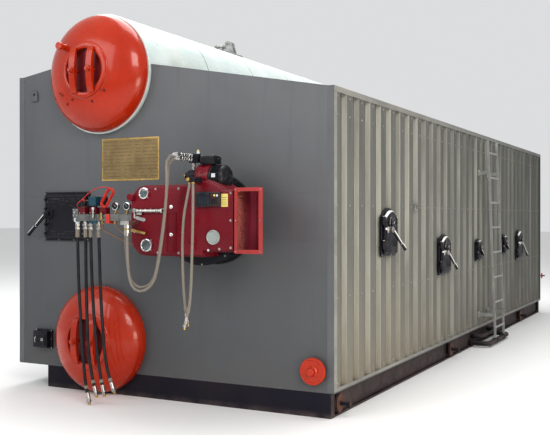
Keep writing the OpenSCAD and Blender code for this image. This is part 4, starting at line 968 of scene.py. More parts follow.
def add_pump_body(s):
    feed, riser = shift(0, 300, 372) @ RIGHT, shift(0, 340, 372) @ UP
    s.use(MOTOR).lathe([(0, -40), (40, -40), (46, -34), (46, 20), (42, 24), (42, 60), (0, 60)], feed, 56)
    for way in around(6, 15):
        s.box((34, -7, -36), (48, 7, 22), feed @ way)
    s.nut(29, -66, -40, feed)
    s.use(BRASS).rod(15, -78, -60, feed, 24)
    s.nut(13, -86, -72, feed)
    s.use(BLACK).box((-26, 400, 352), (50, 466, 402))
    s.use(STEEL).rod(11, 0, 62, riser, 24)
    s.nut(17, 14, 30, riser)
    s.nut(17, 44, 58, riser)


def add_pump_unions(s):
    """Two rows of chromed unions that lead out to the supply hoses."""
    for y, p in ((423, 590), (451, 616)):
        s.use(CHROME).box((-10, y - 13, p - 15), (22, y + 13, p + 13))
        s.rod(9, 400, p - 12, shift(6, y), 24)
        for q in (404, 438, 474, 506, 538):
            s.use(STEEL if q == 474 else CHROME).nut(15.5, q, q + 22, shift(6, y) @ turn(q * 1.7))
        s.use(BRASS).rod(9, 400, p - 30, shift(-18, y), 20)
        exit_at = shift(-10, y, p) @ LEFT
        s.use(STEEL).nut(17, -22, 4, exit_at @ shift(0, 0, -14))
        s.rod(12, -2, 16, exit_at, 20)


def add_pump():
    """Oil pump with unions, its lamp and the block of the return hoses."""
    s = Shape(BURNER)
    lamp = shift(41, 0, 377) @ UP
    add_pump_body(s)
    add_pump_unions(s)
    s.use(WHITE).rod(12, 466, 486, lamp, 24)
    s.use(YELLOW).rod(9, 486, 498, lamp, 24)
    s.use(BLACK).slab(rect(90, 240, 150, 280), FACE, 604, 4)
    s.use(BRASS).nut(15, 603, 624, shift(106, 262))
    for x in (102, 132):
        s.nut(14, -18, 8, shift(x, 240, 590) @ DOWN)
    piece(s, "oil_pump_unit", bevel=1.5, replaces=["oil_pump"])


def add_panel():
    """Control panel with a window, buttons and a yellow tag without lettering, and the grey dial below it."""
    s = Shape(BURNER)
    s.use(SLATE).slab(rect(110, 60, 224, 172), FACE, FACE + 26, 6)
    s.use(BROWN).slab(rect(224, 62, 318, 170), FACE, FACE + 22, 5)
    s.use(BLACK).box((122, 70, FACE + 24), (212, 150, FACE + 27))
    s.use(SLATE).box((130, 78, FACE + 26), (204, 142, FACE + 28))
    s.use(YELLOW).box((316.5, 60, FACE + 0.4), (374, 156, FACE + 4))
    for y in (78, 94, 110, 126):
        s.use(BROWN).box((326, y, FACE + 3.6), (364, y + 3, FACE + 4.6))
    for x, material in ((246, VALVE), (270, YELLOW), (294, WHITE)):
        s.use(material).lathe([(9, 0), (9, 4), (6, 8), (0, 9)], shift(x, 144, FACE + 21), 20)
    for x in (238, 262, 286):
        s.use(BLACK).box((x, 78, FACE + 20), (x + 15, 118, FACE + 25))
    dial = shift(250, -165)
    s.use(TAG).lathe([(0, FACE), (55, FACE), (55, FACE + 10), (50, FACE + 16), (44, FACE + 17),
                      (40, FACE + 12), (0, FACE + 12)], dial, 56)
    s.use(STEEL).torus(50, 3, FACE + 15.5, dial, 56, 8)
    piece(s, "burner_panel", bevel=1.5, replaces=["control_box"])


def add_sights():
    """Two sight ports: chrome rim, glass, four bolts."""
    s = Shape(BURNER)
    for x, y, r in ((-373, 168, 46), (-349, -232, 52)):
        at = shift(x, y, FACE - 0.5)
        s.use(CHROME).lathe([(r - 13, 4), (r, 4), (r, 12), (r - 3, 18), (r - 8, 20), (r - 12, 17),
                             (r - 13, 12)], at, 56, True)
        s.use(CRIMSON).pipe(r + 6, r - 14, -1, 5, at, 56)
        s.use(GLASS).lathe([(0, 1), (r - 12, 1), (r - 12, 10), (r * 0.4, 13.5), (0, 14)], at, 56)
        for way in around(4, 45):
            s.use(STEEL).bolt(r + 1, 0, 4.5, 3.6, at @ way)
    piece(s, "sight_ports", replaces=["sight_glasses"])


# Oil manifold; BAR_P is how far its bar lies out of the wall

BAR_P = 444


def on_bar(x, way=UP, y=0, p=BAR_P):
    return shift(x, y, p) @ way


def add_bar(s):
    """Cast bar with collars, and the end block with its bolts."""
    bar = on_bar(0, RIGHT, -20)
    s.use(CAST).prism(rounded(28, 28, 7), -1100, -515, bar)
    for x in (-1052, -968, -938, -862, -838, -762, -640, -540):
        s.prism(rounded(31, 31, 8), x - 4, x + 4, bar)
    s.slab(rect(-1100, -12, -1047, 52), 412, 478, 5)
    s.use(STEEL).rod(10, 470, 488, shift(-1074, 24), 24)
    s.bolts(((-1092, -4), (-1056, -4), (-1092, 44), (-1056, 44)), 477.5, 4.5)


def add_hose_unions(s):
    """Union and braided sleeve over each of the four oil hoses; the first has white tape."""
    for x, tape in ((-1075, WHITE), (-992, STEEL), (-939, STEEL), (-857, STEEL)):
        drop = on_bar(x, DOWN)
        s.use(tape).lathe([(0, 46), (17, 46), (19, 50), (19, 60), (16, 64), (16, 72), (0, 72)], drop, 28)
        s.use(STEEL).nut(21, 72, 92, drop)
        s.rod(14, 90, 98, drop, 24)
        s.nut(21, 98, 116, drop)
        s.use(BRAID).lathe([(0, 116), (15, 116), (17, 119), (17, 134), (15, 137), (17, 140), (17, 176),
                            (15, 180), (0, 180)], drop, 28)
    s.use(WHITE).torus(15, 6, 0, on_bar(-1075, RIGHT, -40, BAR_P + 20), 28, 10)


def add_pilot_pipes(s):
    """Two thin copper pipes that drop from the bar and bend over to the burner's head."""
    for x, low, end in ((-820, -112, (-470, -236, 430)), (-690, -92, (-490, -180, 430))):
        route = [(x, -40, BAR_P), (x, low + 40, BAR_P + 2), (x + 14, low + 6, BAR_P + 8),
                 (x + 52, low - 22, BAR_P + 14), (end[0] - 70, end[1] + 14, BAR_P + 14), end]
        s.use(COPPER).tube([tuple(p) for p in smooth_path(route, 40)], 6.5, 14)
        s.use(BRASS).nut(13, 28, 48, on_bar(x, DOWN, -20))


def add_loop_unions(s):
    """Unions that hold the far ends of the two supply hoses, on a common block."""
    s.use(STEEL)
    for i, x in enumerate((-480, -446)):
        down = on_bar(x, DOWN, -76, 590 + 26 * i)
        s.nut(15, 0, 26, down)
        s.use(BRASS).rod(12, 26, 38, down, 24)
        s.use(STEEL).nut(15, 38, 62, down)
        s.rod(12.5, 60, 82 + 4 * i, down, 24)
    s.slab(rect(-504, -76, -422, -44), FACE, 630, 4)


def add_linkage(s):
    """Setting shaft with its collars, cam plates and the small union on the burner's head."""
    shaft = on_bar(-431, RIGHT, 33, 512)
    s.rod(13, 0, 242, shaft, 32, 3)
    for z0, z1, r in ((0, 16, 19), (34, 44, 17), (78, 90, 18), (128, 136, 17), (176, 184, 18), (192, 200, 18),
                      (222, 242, 20)):
        s.rod(r, z0, z1, shaft, 32, 2)
    s.slab(rect(-220, 14, -180, 52), FACE - 1, 508, 4)
    s.use(BRASS).slab([(-491, -128), (-359, -150), (-352, -132), (-486, -104)], FACE - 2, 512, 3)
    s.use(STEEL).slab(rect(-436, 0, -386, 31), FACE - 1, 516, 4)
    s.prism([(-452, -30), (-372, -52), (-356, -44), (-356, -26), (-444, -6)], FACE - 1, 507)
    s.lathe([(0, 0), (18, 0), (20, 3), (20, 16), (16, 22), (0, 24)], shift(-459, 35, FACE - 1), 32)
    s.rod(9, 0, 60, on_bar(-459, DOWN, 35, 505), 20)
    s.bolts(((-424, 15), (-398, 15), (-470, -120), (-376, -138)), 510, 5)


def add_manifold():
    s = Shape(BURNER)
    for part in (add_bar, add_hose_unions, add_pilot_pipes, add_loop_unions, add_linkage):
        part(s)
    piece(s, "oil_manifold_bar", bevel=1.2, replaces=["oil_manifold"])


def add_valves():
    """Three red valve bodies; black and teal coils, a red block and two thin pipes stand on them."""
    s = Shape(BURNER).use(VALVE)
    for x in (-1010, -900, -800):
        s.slab(rect(x - 32, 8, x + 32, 62), 416, 472, 5)
        s.rod(22, 60, 74, on_bar(x), 28)
    s.use(BLACK).lathe([(0, 74), (21, 74), (23, 77), (23, 108), (20, 112), (0, 112)], on_bar(-1010), 36)
    s.use(CABLE).rod(10, 111, 128, on_bar(-1010), 24)
    s.use(TEAL).slab(rect(-938, 76, -862, 148), 412, 478, 8)
    s.use(BLACK).rod(12, 147, 152, on_bar(-900), 20)
    s.use(TEAL).slab(rect(-940, -66, -855, -46), 418, 474, 4)
    s.use(BLACK).lathe([(0, 74), (24, 74), (26, 77), (26, 142), (22, 148), (0, 148)], on_bar(-800), 36)
    s.use(CABLE).slab(rect(-757, -66, -724, 8), 430, 482, 4)
    s.use(STEEL).rod(9, -25, 50, on_bar(-885, p=484), 24)
    s.use(WHITE).rod(10, 44, 62, on_bar(-885, p=484), 24)
    s.use(BRASS).rod(8, -37, 21, on_bar(-802, p=484), 24)
    s.nut(12, -34, -22, on_bar(-802, p=484))
    s.use(STEEL).bolts([(x, 18) for x in (-1032, -988, -922, -878)], 471.5, 4)
    piece(s, "oil_valve_set", bevel=1.2, replaces=["oil_valves"])


def add_gauges():
    """Two dials with chrome rims and plain needles on brass stems."""
    s = Shape(BURNER)
    for x in (-688, -575):
        s.use(BRASS).rod(8, 8, 44, on_bar(x), 20)
        s.nut(12, 12, 24, on_bar(x))
        dial = shift(x, 70, BAR_P)
        s.use(CHROME).lathe([(0, -14), (29, -14), (32, -10), (32, 9), (30, 13), (26, 14), (26, 9), (0, 9)],
                            dial, 48)
        s.use(SLATE).rod(26, 8, 10, dial, 48, 0.4)
        s.use(BLACK).rod(13, 9.5, 10.6, dial, 32, 0.3)
        s.use(WHITE).box((-1.3, -6, 10.5), (1.3, 19, 11.8), dial @ turn(38))
        s.use(STEEL).rod(3.2, 10, 12.6, dial, 16, 0.5)
    piece(s, "manifold_gauges", replaces=["pressure_gauges"])


# Cable: a lead over the coils that runs into a hank of two layers; x, z and distance out of the wall

LEAD = [(-1042, 52, 444), (-1056, 54, 446), (-1066, 64, 454), (-1062, 78, 465), (-1044, 94, 478),
        (-1012, 113, 488), (-974, 136, 491), (-938, 164, 491), (-900, 190, 490), (-860, 208, 488),
        (-818, 220, 484), (-778, 225, 479), (-745, 220, 476)]
HANK_X, HANK_Z, HANK_L, HANK_TILT = -766, 91, 107, math.radians(57)
HANK_START, HANK_TURNS, OUTER_TURNS = 57.0, 6.75, 3.3
OUTER_R, INNER_STEP, HANK_P, PITCH = 30.5, 8.5, 476, 8.4


def hank_point(r, a, p):
    """Point of the hank at angle a of its oval, clockwise: a half turn round each end, runs between."""
    part = (a % 360) / 360
    if part < 0.5:
        angle, x = math.radians(90 - part * 360), HANK_L
    else:
        angle, x = math.radians(-90 - (part - 0.5) * 360), 0
    u, v = x + r * math.cos(angle), r * math.sin(angle)
    c, s = math.cos(HANK_TILT), math.sin(HANK_TILT)
    return (HANK_X + u * c - v * s, HANK_Z + u * s + v * c, p)


def hank_line():
    """Both layers: forward outside, back inside, with a point halfway along each straight run."""
    out, angle = [], HANK_START
    while angle < HANK_START + 360 * HANK_TURNS:
        done = (angle - HANK_START) / 360
        back = max(0.0, done - OUTER_TURNS)
        p = HANK_P + PITCH * min(done, OUTER_TURNS) - PITCH * back
        r = OUTER_R - INNER_STEP * min(1.0, back / 0.25)
        out.append(hank_point(r, angle, p))
        step, before = 20, angle % 180
        if before + step >= 180:
            edge = angle - before + 180
            a, b = hank_point(r, edge - 0.01, p), hank_point(r, edge + 0.01, p)
            out += [a, tuple((m + n) / 2 for m, n in zip(a, b)), b]
            step = 180 - before + 14
        angle += step
    return out


def add_cable():
    route = [(x + BURNER_X, -HALF_L - p, z + BURNER_Z) for x, z, p in LEAD + hank_line()]
    add_cord("valve_cable_hank", ["valve_cable", "cable_lead"], route, CABLE_THICK, CABLE, "cable_red",
             "object", "limp", "coiled", points=240, facets=4)


# Furnace doors, ports and the access door; a size is width, height and rise of the arch

DOOR, PORT, ACCESS = (360, 415, 80), (208, 260, 52), (500, 430, 0)
DOORS = {1: (1149, 1390), 2: (2831, 1132), 3: (6537, 1127)}
PORTS = {1: (4253, 1132), 2: (5615, 1160)}
ACCESS_PLACE = front(-1001, 1525) @ MIRROR
DOOR_THROAT, ACCESS_THROAT = 158, 120
DOOR_GLINT, PORT_GLINT = (1.8, 3, 5, 9, 15, 17, 15, 8), (1.8, 2, 4, 8, 10, 8, 4, 2)
ARCH_STEPS = 24


def arched(w, h, rise, inset=0.0):
    """Counterclockwise outline with an arched top, straight where rise is 0, always of as many points."""
    a, low, n = w / 2 - inset, -h / 2 + inset, ARCH_STEPS
    if rise:
        r = (w * w / 4 + rise * rise) / (2 * rise)
        mid, r = h / 2 - r, r - inset
        half = math.degrees(math.asin(a / r))
        top = arc(0, mid, r, 90 - half, 90 + half, n)
    else:
        top = [(a - 2 * a * k / n, h / 2 - inset) for k in range(n + 1)]
    return [(-a, low), (a, low)] + top


def arched_rings(size, steps):
    return [at_z(arched(*size, inset), z) for inset, z in steps]


def hinge_rows(h):
    return (-0.27 * h, 0.22 * h)


def add_frame(s, size, depth, at):
    """Cast frame with rounded edges, its throat through the wall, the hinge lugs and their pins."""
    w, h, rise = size
    hole = (w - 100, h - 100, 0)
    s.use(BLACK).hoop(arched_rings(size, ((0, 0), (0, 16), (4, 20)))
                      + arched_rings(hole, ((-3, 20), (0, 17), (0, 0))), at)
    s.use(SOOT).hoop(arched_rings(hole, ((-15, -depth), (-15, -0.5), (0, -0.5), (0, -depth))), at)
    x = -w / 2 - 2
    for y in hinge_rows(h):
        up = at @ shift(x, y, 36) @ UP
        s.use(BLACK).rod(15, -26.3, -0.3, up, 28)
        s.box((x - 6, y - 26.3, 0), (x + 28, y - 0.3, 20), at)
        s.box((x - 9, y - 26.3, 19), (x + 15, y - 0.3, 36), at)
        s.use(STEEL).lathe([(0, -0.4), (8.8, -0.4), (8.8, 43), (12, 43), (12, 46), (9, 48), (0, 48)], up, 24)
    low, high = -h / 2 + 14, h / 2 - rise - 16
    s.bolts(((w / 2 - 9, low), (w / 2 - 9, 0), (w / 2 - 9, high), (-w / 2 + 9, low), (-w / 2 + 9, high),
             (-w / 6, -h / 2 + 9), (w / 6, -h / 2 + 9)), 19.6, 4.2, at)


def add_leaf(s, size):
    """Leaf with a raised rim, bead, foot band, knuckles and straps."""
    w, h, rise = size
    leaf = (w - 40, h - 40, max(0, rise - 6))
    left, low = -leaf[0] / 2 + 24, -leaf[1] / 2 + 24
    s.use(BLACK).stack(arched_rings(leaf, ((3, 25), (0, 27), (0, 38), (2, 40), (15, 47.5), (18, 48), (20, 46),
                                           (24, 44.5))))
    s.hoop(arched_rings(leaf, ((36, 43.5), (37.5, 47.5), (41.5, 47.5), (43, 43.5))))
    s.slab(rect(left, low, -left, low + 38), 43, 48.5, 2)
    x = -w / 2 - 2
    for y in hinge_rows(h):
        s.use(BLACK).pipe(15, 9.3, 0, 42, shift(x, y, 36) @ UP, 28)
        s.box((x + 12, y + 1, 28), (left + 10, y + 41, 44.5))
        s.use(STEEL).bolts(((left, y + 11), (left, y + 31)), 44, 4)


def add_glint(s, size, widths):
    """Painted highlight: bright strip along the arch of a leaf; widths run from the right foot to the left
    one.
    """
    w, h, rise = size
    rings = []
    for k in range(ARCH_STEPS + 1):
        spot = k / ARCH_STEPS * (len(widths) - 1)
        i = min(int(spot), len(widths) - 2)
        width = widths[i] + (widths[i + 1] - widths[i]) * (spot - i)
        crest = 40.7 + (width - 1.6) * 0.56
        section = [(-0.5, 30), (-0.5, 38.4), (1.6, 40.7), (width, crest), (width, 38), (2, 30)]
        rings.append([(*arched(w - 40, h - 40, rise - 6, i)[2 + k], z) for i, z in section])
    s.use(BRIGHT).stack(rings)


def add_hub(s, x, y, r, top):
    """Round peep cover with its ring, cap screws and a small glass eye."""
    c = shift(x, y)
    s.use(BLACK).lathe([(0, 44), (r, 44), (r, 50), (r - 3, 54), (r - 6, 56), (r - 6, top - 7),
                        (r - 10, top - 1), (r - 18, top), (r - 22, top - 3), (r * 0.45, top - 3),
                        (r * 0.4, top), (0, top)], c, 48)
    s.use(STEEL).torus(r - 4, 2, 54, c, 48, 8)
    s.use(CHROME).lathe([(0, top - 1), (r * 0.22, top - 1), (r * 0.22, top + 2), (r * 0.14, top + 4),
                         (0, top + 4)], c, 24)
    for way in around(6, 20):
        s.use(STEEL).bolt(r - 14, 0, top - 1.2, 3, c @ way)


def add_pivot(s, x, y, hub):
    """Turned hub and pin that the lever sits on, and its black foot."""
    c = shift(x, y)
    s.use(hub).lathe([(0, 44), (30, 44), (30, 52), (24, 56), (22, 60), (22, 79), (20, 80.7), (0, 80.7)],
                     c, 32)
    s.rod(10, 78, 98, c, 24, 0.5)
    s.nut(17, 98, 105, c @ turn(12))
    s.use(BLACK).box((-34, -26, 44), (34, 26, 50), c)


def add_lever(name, node, body, place, span, hub, highlight_spread):
    """Lever with its grip and painted highlights along the bar and grip; the last argument is how far the
    painted highlight lies from the middle of the bar.
    """
    s = Shape(place).use(hub).pipe(26, 10.3, 81, 97, None, 40, 2)
    end = span - 110
    s.use(BLACK).slab([(23, -15), (end, -11), (end, 11), (23, 15)], 82, 96, 3)
    # Painted highlight along the top of the bar.
    s.use(BRIGHT).prism([(25, highlight_spread + 2), (end - 2, highlight_spread), (end - 2, 11.6), (25, 15.6)], 88, 98)
    grip = shift(0, 0, 89) @ RIGHT
    s.use(BLACK).lathe([(0, end - 2), (12, end - 2), (14, end + 2), (13, end + 14), (12.5, span - 40),
                        (14, span - 2), (14, span + 8), (10, span + 14), (0, span + 15)], grip, 28)
    # Painted highlight along the grip.
    s.use(BRIGHT).prism([(end + 10, highlight_spread + 2), (span - 4, highlight_spread + 3), (span - 4, 13), (end + 10, 12.5)],
                        86, 103)
    s.use(STEEL).pipe(15, 9, end - 8, end, grip, 28)
    piece(s, name, body, 1.0, [node])


def add_frames():
    s = Shape()
    for spots, size in ((DOORS, DOOR), (PORTS, PORT)):
        for spot in spots.values():
            add_frame(s, size, DOOR_THROAT, within(side(*spot)))
    add_frame(s, ACCESS, ACCESS_THROAT, within(ACCESS_PLACE))
    piece(s, "door_frame_set", bevel=1.2, replaces=["door_frames"])


def add_doors():
    for number, spot in DOORS.items():
        s = Shape(side(*spot))
        add_leaf(s, DOOR)
        add_glint(s, DOOR, DOOR_GLINT)
        add_hub(s, -20, 83, 50, 73)
        add_pivot(s, -100, 22, STEEL)
        # Small knob, coloured near white as a painted highlight.
        s.use(BRIGHT).lathe([(0, 44), (10, 44), (10, 54), (7, 58), (0, 59)], shift(-146, 29), 24)
        s.use(STEEL).bolts([(149, y) for y in (126, 83, 60, -54, -83)], 45.5, 5)
        piece(s, f"door_leaf_{number}", f"leaf_{number}", 1.2, [f"furnace_door_{number}"])
        add_lever(f"latch_lever_{number}", f"door_lever_{number}", f"lever_{number}",
                  side(*spot) @ shift(-100, 22) @ turn(-28.67), 364.7, STEEL, 0)


def add_ports():
    grip = shift(0, -20) @ turn(-28)
    for number, spot in PORTS.items():
        s = Shape(side(*spot))
        add_leaf(s, PORT)
        add_glint(s, PORT, PORT_GLINT)
        add_hub(s, 8, 34, 32, 63)
        s.use(BLACK).slab(rect(-40, -9, 90, 9), 46, 66, 3, grip)
        # Painted highlight along the top of the grip.
        s.use(BRIGHT).prism(rect(-38, 5, 88, 9.6), 56, 68.5, grip)
        s.use(STEEL).bolt(-28, -2, 65.5, 5, grip)
        s.bolts([(74, y) for y in (44, -30, -62)], 45.5, 4)
        piece(s, f"port_leaf_{number}", f"port_{number}", 1.2, [f"furnace_port_{number}"])


def add_access():
    s = Shape(ACCESS_PLACE)
    add_leaf(s, ACCESS)
    arch = arched_rings((320, 270, 70), ((0, 43.5), (2, 49), (7, 49), (9, 43.5)))
    s.use(BLACK).hoop(arch, shift(0, -20))
    for y in (132, 150):
        s.box((-190, y, 44), (190, y + 6, 48.6))
    for x in (176, 190):
        s.box((x, -150, 44), (x + 5, 150, 48.6))
    add_pivot(s, 170, 25, BLACK)
    for y in (-150, -70, 70, 150):
        s.use(BLACK).lathe([(0, 44), (13, 44), (13, 56), (9, 62), (0, 63)], shift(214, y), 24)
        s.use(STEEL).bolt(-206, y, 45.5, 5)
    piece(s, "access_leaf_dressed", "access_leaf", 1.2, ["access_door"])
    add_lever("access_latch", "access_lever", "access_handle", ACCESS_PLACE @ shift(170, 25) @ turn(-42.77),
              272.4, BLACK, 7)


# Fittings on the walls; a place is across the wall, or along the part on its long sides, and up

HEADER_AT, CLEANOUT_AT, PLATE_AT, LUG_AT = (1407, 354), (-1262, 428), (-320, 2012), (-1379, 2625)
BRACKET_AT, VALVE_AT = (1940, 1640), (1470, 575)
PLATE_SCREWS = grid((-290, -145, 0, 145, 290), (-174, 174)) + grid((-290, 290), (-80, 80))


def add_header_cap():
    """Blind flange with its hub, the weld at its neck and a seal ring."""
    s = Shape(front(*HEADER_AT)).use(ORANGE)
    s.lathe([(0, -4), (57, -4), (57, 28), (100, 28), (104, 32), (104, 48), (101, 52), (88, 52), (84, 48),
             (40, 46.5), (34, 52), (30, 56), (28, 60), (28, 92), (24, 97), (0, 97)], None, 96)
    s.torus(59, 5, 0, None, 72, 8)
    s.use(BLACK).torus(28.2, 1.2, 66, None, 48, 6)
    piece(s, "header_cap", replaces=["header_flange"])


def add_cleanout():
    """Cleanout box with a stepped lid, two hinges, bolts and a bow handle."""
    s = Shape(front(*CLEANOUT_AT)).use(BLACK)
    s.slab(rounded(92, 84, 8), 0, 18, 3)
    s.slab(rect(-80, -72, 80, 72), 17, 72, 7)
    s.slab(rect(-62, -54, 62, 54), 71, 80, 3)
    for y in (-42, 42):
        s.rod(9, -20, 20, shift(-98, y, 30) @ UP, 24)
        s.box((-98, y - 8, 22), (-78, y + 8, 38))
    s.use(STEEL).bolts(grid((-86, 86), (-76, 0, 76)), 17.5, 4.5)
    s.pipe(14, 7, 79, 84, shift(30, 0), 24)
    s.tube([(-28, y, z) for y, z in ((-26, 78), (-24, 96), (-12, 104), (12, 104), (24, 96), (26, 78))], 5, 12)
    piece(s, "cleanout_door", bevel=1.5, replaces=["cleanout_box"])


def add_maker_plate():
    """Bare plate in a brass frame, held by screws along its rim."""
    s = Shape(front(*PLATE_AT))
    s.use(BRASS).slab(rect(-300, -182, 300, 182), 0.4, 3, 1)
    s.use(GOLD).box((-286, -168, 2.6), (286, 168, 3.6))
    for x, y in PLATE_SCREWS:
        s.use(STEEL).lathe([(0, 2.5), (6, 2.5), (5, 5), (2.5, 6.4), (0, 6.6)], shift(x, y), 16)
    piece(s, "maker_plate_blank", bevel=0.6)


def add_side_bracket():
    """Small shelf angle with a gusset."""
    s = Shape(side(*BRACKET_AT)).use(ZINC)
    s.box((-46, -6, 0), (46, 0, 62))
    s.box((-46, -62, 0), (46, 0, 6))
    upright = Matrix(((0, 0, 1, 0), (0, 1, 0, 0), (1, 0, 0, 6), (0, 0, 0, 1)))
    s.prism([(0, 0), (54, 0), (0, -54)], -3, 3, upright)
    s.use(STEEL).bolts(((-30, -40), (30, -40)), 5.6, 5)
    piece(s, "side_bracket", bevel=0.8)


def add_wall_lug():
    """Round eye on a flat foot."""
    s = Shape(front(*LUG_AT)).use(GREY)
    s.hoop([at_z(arc(0, 0, r, 0, 345, 23), z) for r, z in ((34, 0), (34, 14), (32, 16), (16, 16), (14, 14),
                                                           (14, 0))])
    s.box((-34, -60, 0), (34, -10, 15))
    piece(s, "wall_lug", bevel=1.5)


RUNG_LOW, RUNG_PITCH, RUNG_COUNT = 210, 296, 8
LADDER_S, STILE_X, STILE_LOW, STILE_HIGH = 4540, 220, 90, 2432
BRACKET_ROWS = (358, 2045.2)


def ladder_gap(z):
    """The ladder leans: it stands off the wall less at its top."""
    return 200 - 90 * (z - STILE_LOW) / (STILE_HIGH - STILE_LOW)


def add_ladder():
    """Stiles, brackets with foot plates, and rungs with a weld at each end."""
    s = Shape(side(LADDER_S, 0))
    for x in (-STILE_X, STILE_X):
        s.use(ZINC).stack([[(a, z, ladder_gap(z) + b) for a, b in rect(x - 6, -d, x + 6, d)]
                           for z, d in ((STILE_LOW, 11), (94, 14), (2424, 14), (STILE_HIGH, 9))])
        for z in BRACKET_ROWS:
            s.use(ZINC).box((x - 4, z - 20, 0), (x + 4, z + 20, ladder_gap(z) - 4))
            s.box((x - 32, z - 34, 0.2), (x + 32, z + 34, 6))
            s.use(STEEL).bolts([(x + dx, z + dy) for dy in (-22, 22) for dx in (-18, 18)], 5.8, 6)
            s.nut(8, 0, 7, shift(x + (6 if x > 0 else -13), z, ladder_gap(z)) @ RIGHT)
    s.use(ZINC)
    for k in range(RUNG_COUNT):
        z = RUNG_LOW + RUNG_PITCH * k
        rung = shift(0, z, ladder_gap(z)) @ RIGHT
        s.rod(12, -216, 216, rung, 24)
        for x in (-214, 214):
            s.torus(12.5, 3, x, rung, 24, 6)
    piece(s, "side_ladder", bevel=1.5, replaces=["ladder"])


def add_corner_valve():
    """Valve with a red handwheel on the rear wall, and the second stub below it."""
    s = Shape(rear(*VALVE_AT)).use(BLACK)
    s.lathe([(0, 0), (34, 0), (34, 6), (20, 8), (20, 58), (30, 60), (30, 78), (0, 78)], None, 36)
    s.use(CABLE).lathe([(0, 76), (30, 76), (30, 82), (24, 86), (0, 86)], None, 36)
    stem = shift(0, 0, 105) @ LEFT
    s.lathe([(0, -34), (28, -34), (33, -26), (34, 0), (33, 22), (26, 32), (14, 36), (14, 44), (0, 44)],
            stem, 40)
    s.use(STEEL).rod(10, 40, 96, stem, 24)
    s.use(CABLE).torus(39, 6.5, 98, stem, 48, 10)
    for way in around(4, 20):
        s.rod(4, 10, 36, stem @ shift(0, 0, 98) @ way @ RIGHT, 12, 0.5)
    s.rod(15, 91, 105, stem, 28)
    s.use(BLACK).rod(9, 100, 148, stem, 20)
    for way in around(6):
        s.bolt(25, 0, 77.6, 3.5, way)
    s.lathe([(0, 0), (40, 0), (40, 8), (24, 10), (24, 44), (34, 46), (34, 58), (0, 60)], shift(0, -348), 36)
    piece(s, "corner_valve_set", bevel=1, replaces=["corner_valve"])


DRAIN_X, DRAIN_BEND = 1506, 75
# Each drain pipe: height, radius, its two ends along the part, how far it stands out
DRAINS = ((46, 27, -40, 960, 235), (112, 24, 60, 840, 130))


def add_drains():
    """Two looped pipes at the skid with collars at the wall and bolted flange pairs."""
    s = Shape()
    for z, r, y0, y1, out in DRAINS:
        x = DRAIN_X + out - DRAIN_BEND
        first = arc(x, y0 + DRAIN_BEND, DRAIN_BEND, 270, 360, 9)
        last = arc(x, y1 - DRAIN_BEND, DRAIN_BEND, 0, 90, 9)
        s.use(SKID).tube(at_z([(DRAIN_X, y0), *first, *last, (DRAIN_X, y1)], z), r, 24)
        for y in (y0, y1):
            s.pipe(r + 8, r - 2, 34, 46, shift(DRAIN_X, y, z) @ RIGHT, 36)
        for part in (0.36, 0.72):
            at = shift(DRAIN_X + out, y0 + (y1 - y0) * part, z) @ UP
            s.use(SKID).pipe(r + 9, r - 2, -9, -1, at, 36)
            s.pipe(r + 9, r - 2, 1, 9, at, 36)
            for way in around(6, 15):
                s.use(STEEL).nut(4, -13, 13, at @ way @ shift(r + 4, 0))
    piece(s, "drain_pipe_run", bevel=0.8, replaces=["drain_pipes"])


# Drum top, jacket, roof, corners, screws and skid; lengths along the part start at the front wall,
# only the laps of the jacket are at their place in the frame

TOP_AT = 2080
JACKET_PITCH, JACKET_FRONT = 917, -4125
LAPS = [JACKET_FRONT + JACKET_PITCH * k for k in range(1, 9)]
SEAM_PITCH, SEAM_FIRST, SEAM_COUNT, SEAM_W = 990, 150, 9, 26
EAVE_RIGHT, EAVE_LEFT = 2510, 2790
RIB_PITCH, RIB_FIRST, RIB_COUNT, SCREW_ROWS = 250, 60, 33, (262, 905, 1610, 2300, 2440)
PLATE_BOLTS, PLATE_BOLT_CIRCLE = 16, 315
TRUNNIONS, TRUNNION_Z = (150, 3200, 6800), 95
FLOOR_SIZE, FLOOR_DROP = 160, 0.0005


def add_drum_top():
    """Saddle on the drum with two lifting eyes and a capped nozzle."""
    s = Shape(MM @ shift(DRUM_X, TOP_AT - HALF_L, STEAM_Z + JACKET_R)).use(ZINC)
    saddle = [(110, 8), (106, 12), (-106, 12), (-110, 8)]
    saddle += [(x, math.sqrt((JACKET_R + 0.3) ** 2 - x * x) - JACKET_R) for x in range(-110, 111, 20)]
    s.prism(saddle, -170, 190, FLAT)
    for y in (62, 122):
        s.prism([(-75, 11), (75, 11), (44, 112), (-44, 112)], y - 8, y + 8, FLAT)
        s.pipe(46, 18, -8.5, 8.5, shift(0, y, 116) @ DOWN, 40)
        for x in (-60, 60):
            s.tube([(x, y - 9, 13), (x * 0.4, y - 9, 13)], 4, 8)
    nozzle = shift(0, -100)
    s.lathe([(0, 11), (46, 11), (42, 16), (38, 20), (38, 54), (62, 56), (62, 76), (58, 79), (0, 79)], nozzle)
    s.use(STEEL)
    for way in around(6):
        s.bolt(50, 0, 78, 6, nozzle @ way)
    s.bolts(grid((-92, 92), (-150, -50, 30, 172)), 11.6, 6.5)
    piece(s, "drum_top_bracket", bevel=1.5, replaces=["drum_top_fitting"])


def add_band(s, y0, y1, top, a0=6, a1=168, n=60):
    """Strip on the jacket from angle a0 to a1, its upper edges taken back by 1 mm."""
    r0, r1 = JACKET_R - 0.5, JACKET_R + top
    s.stack([[(x * r0, y0, z * r0), (x * r0, y1, z * r0), (x * r1, y1 - 1, z * r1), (x * r1, y0 + 1, z * r1)]
             for x, z in arc(0, 0, 1, a0, a1, n)])


def add_jacket_bands():
    """Front rim, a band over each lap and the dark line beside it."""
    s = Shape(MM @ shift(DRUM_X, 0, STEAM_Z)).use(JACKET)
    add_band(s, JACKET_FRONT - 32, JACKET_FRONT - 4, 2.5, -180, 179.99, 120)
    for y in LAPS:
        add_band(s, y - 14, y + 14, 2)
    s.use(SOOT)
    for y in LAPS:
        add_band(s, y + 15, y + 24, 0.9)
    piece(s, "jacket_bands", bevel=0.6)


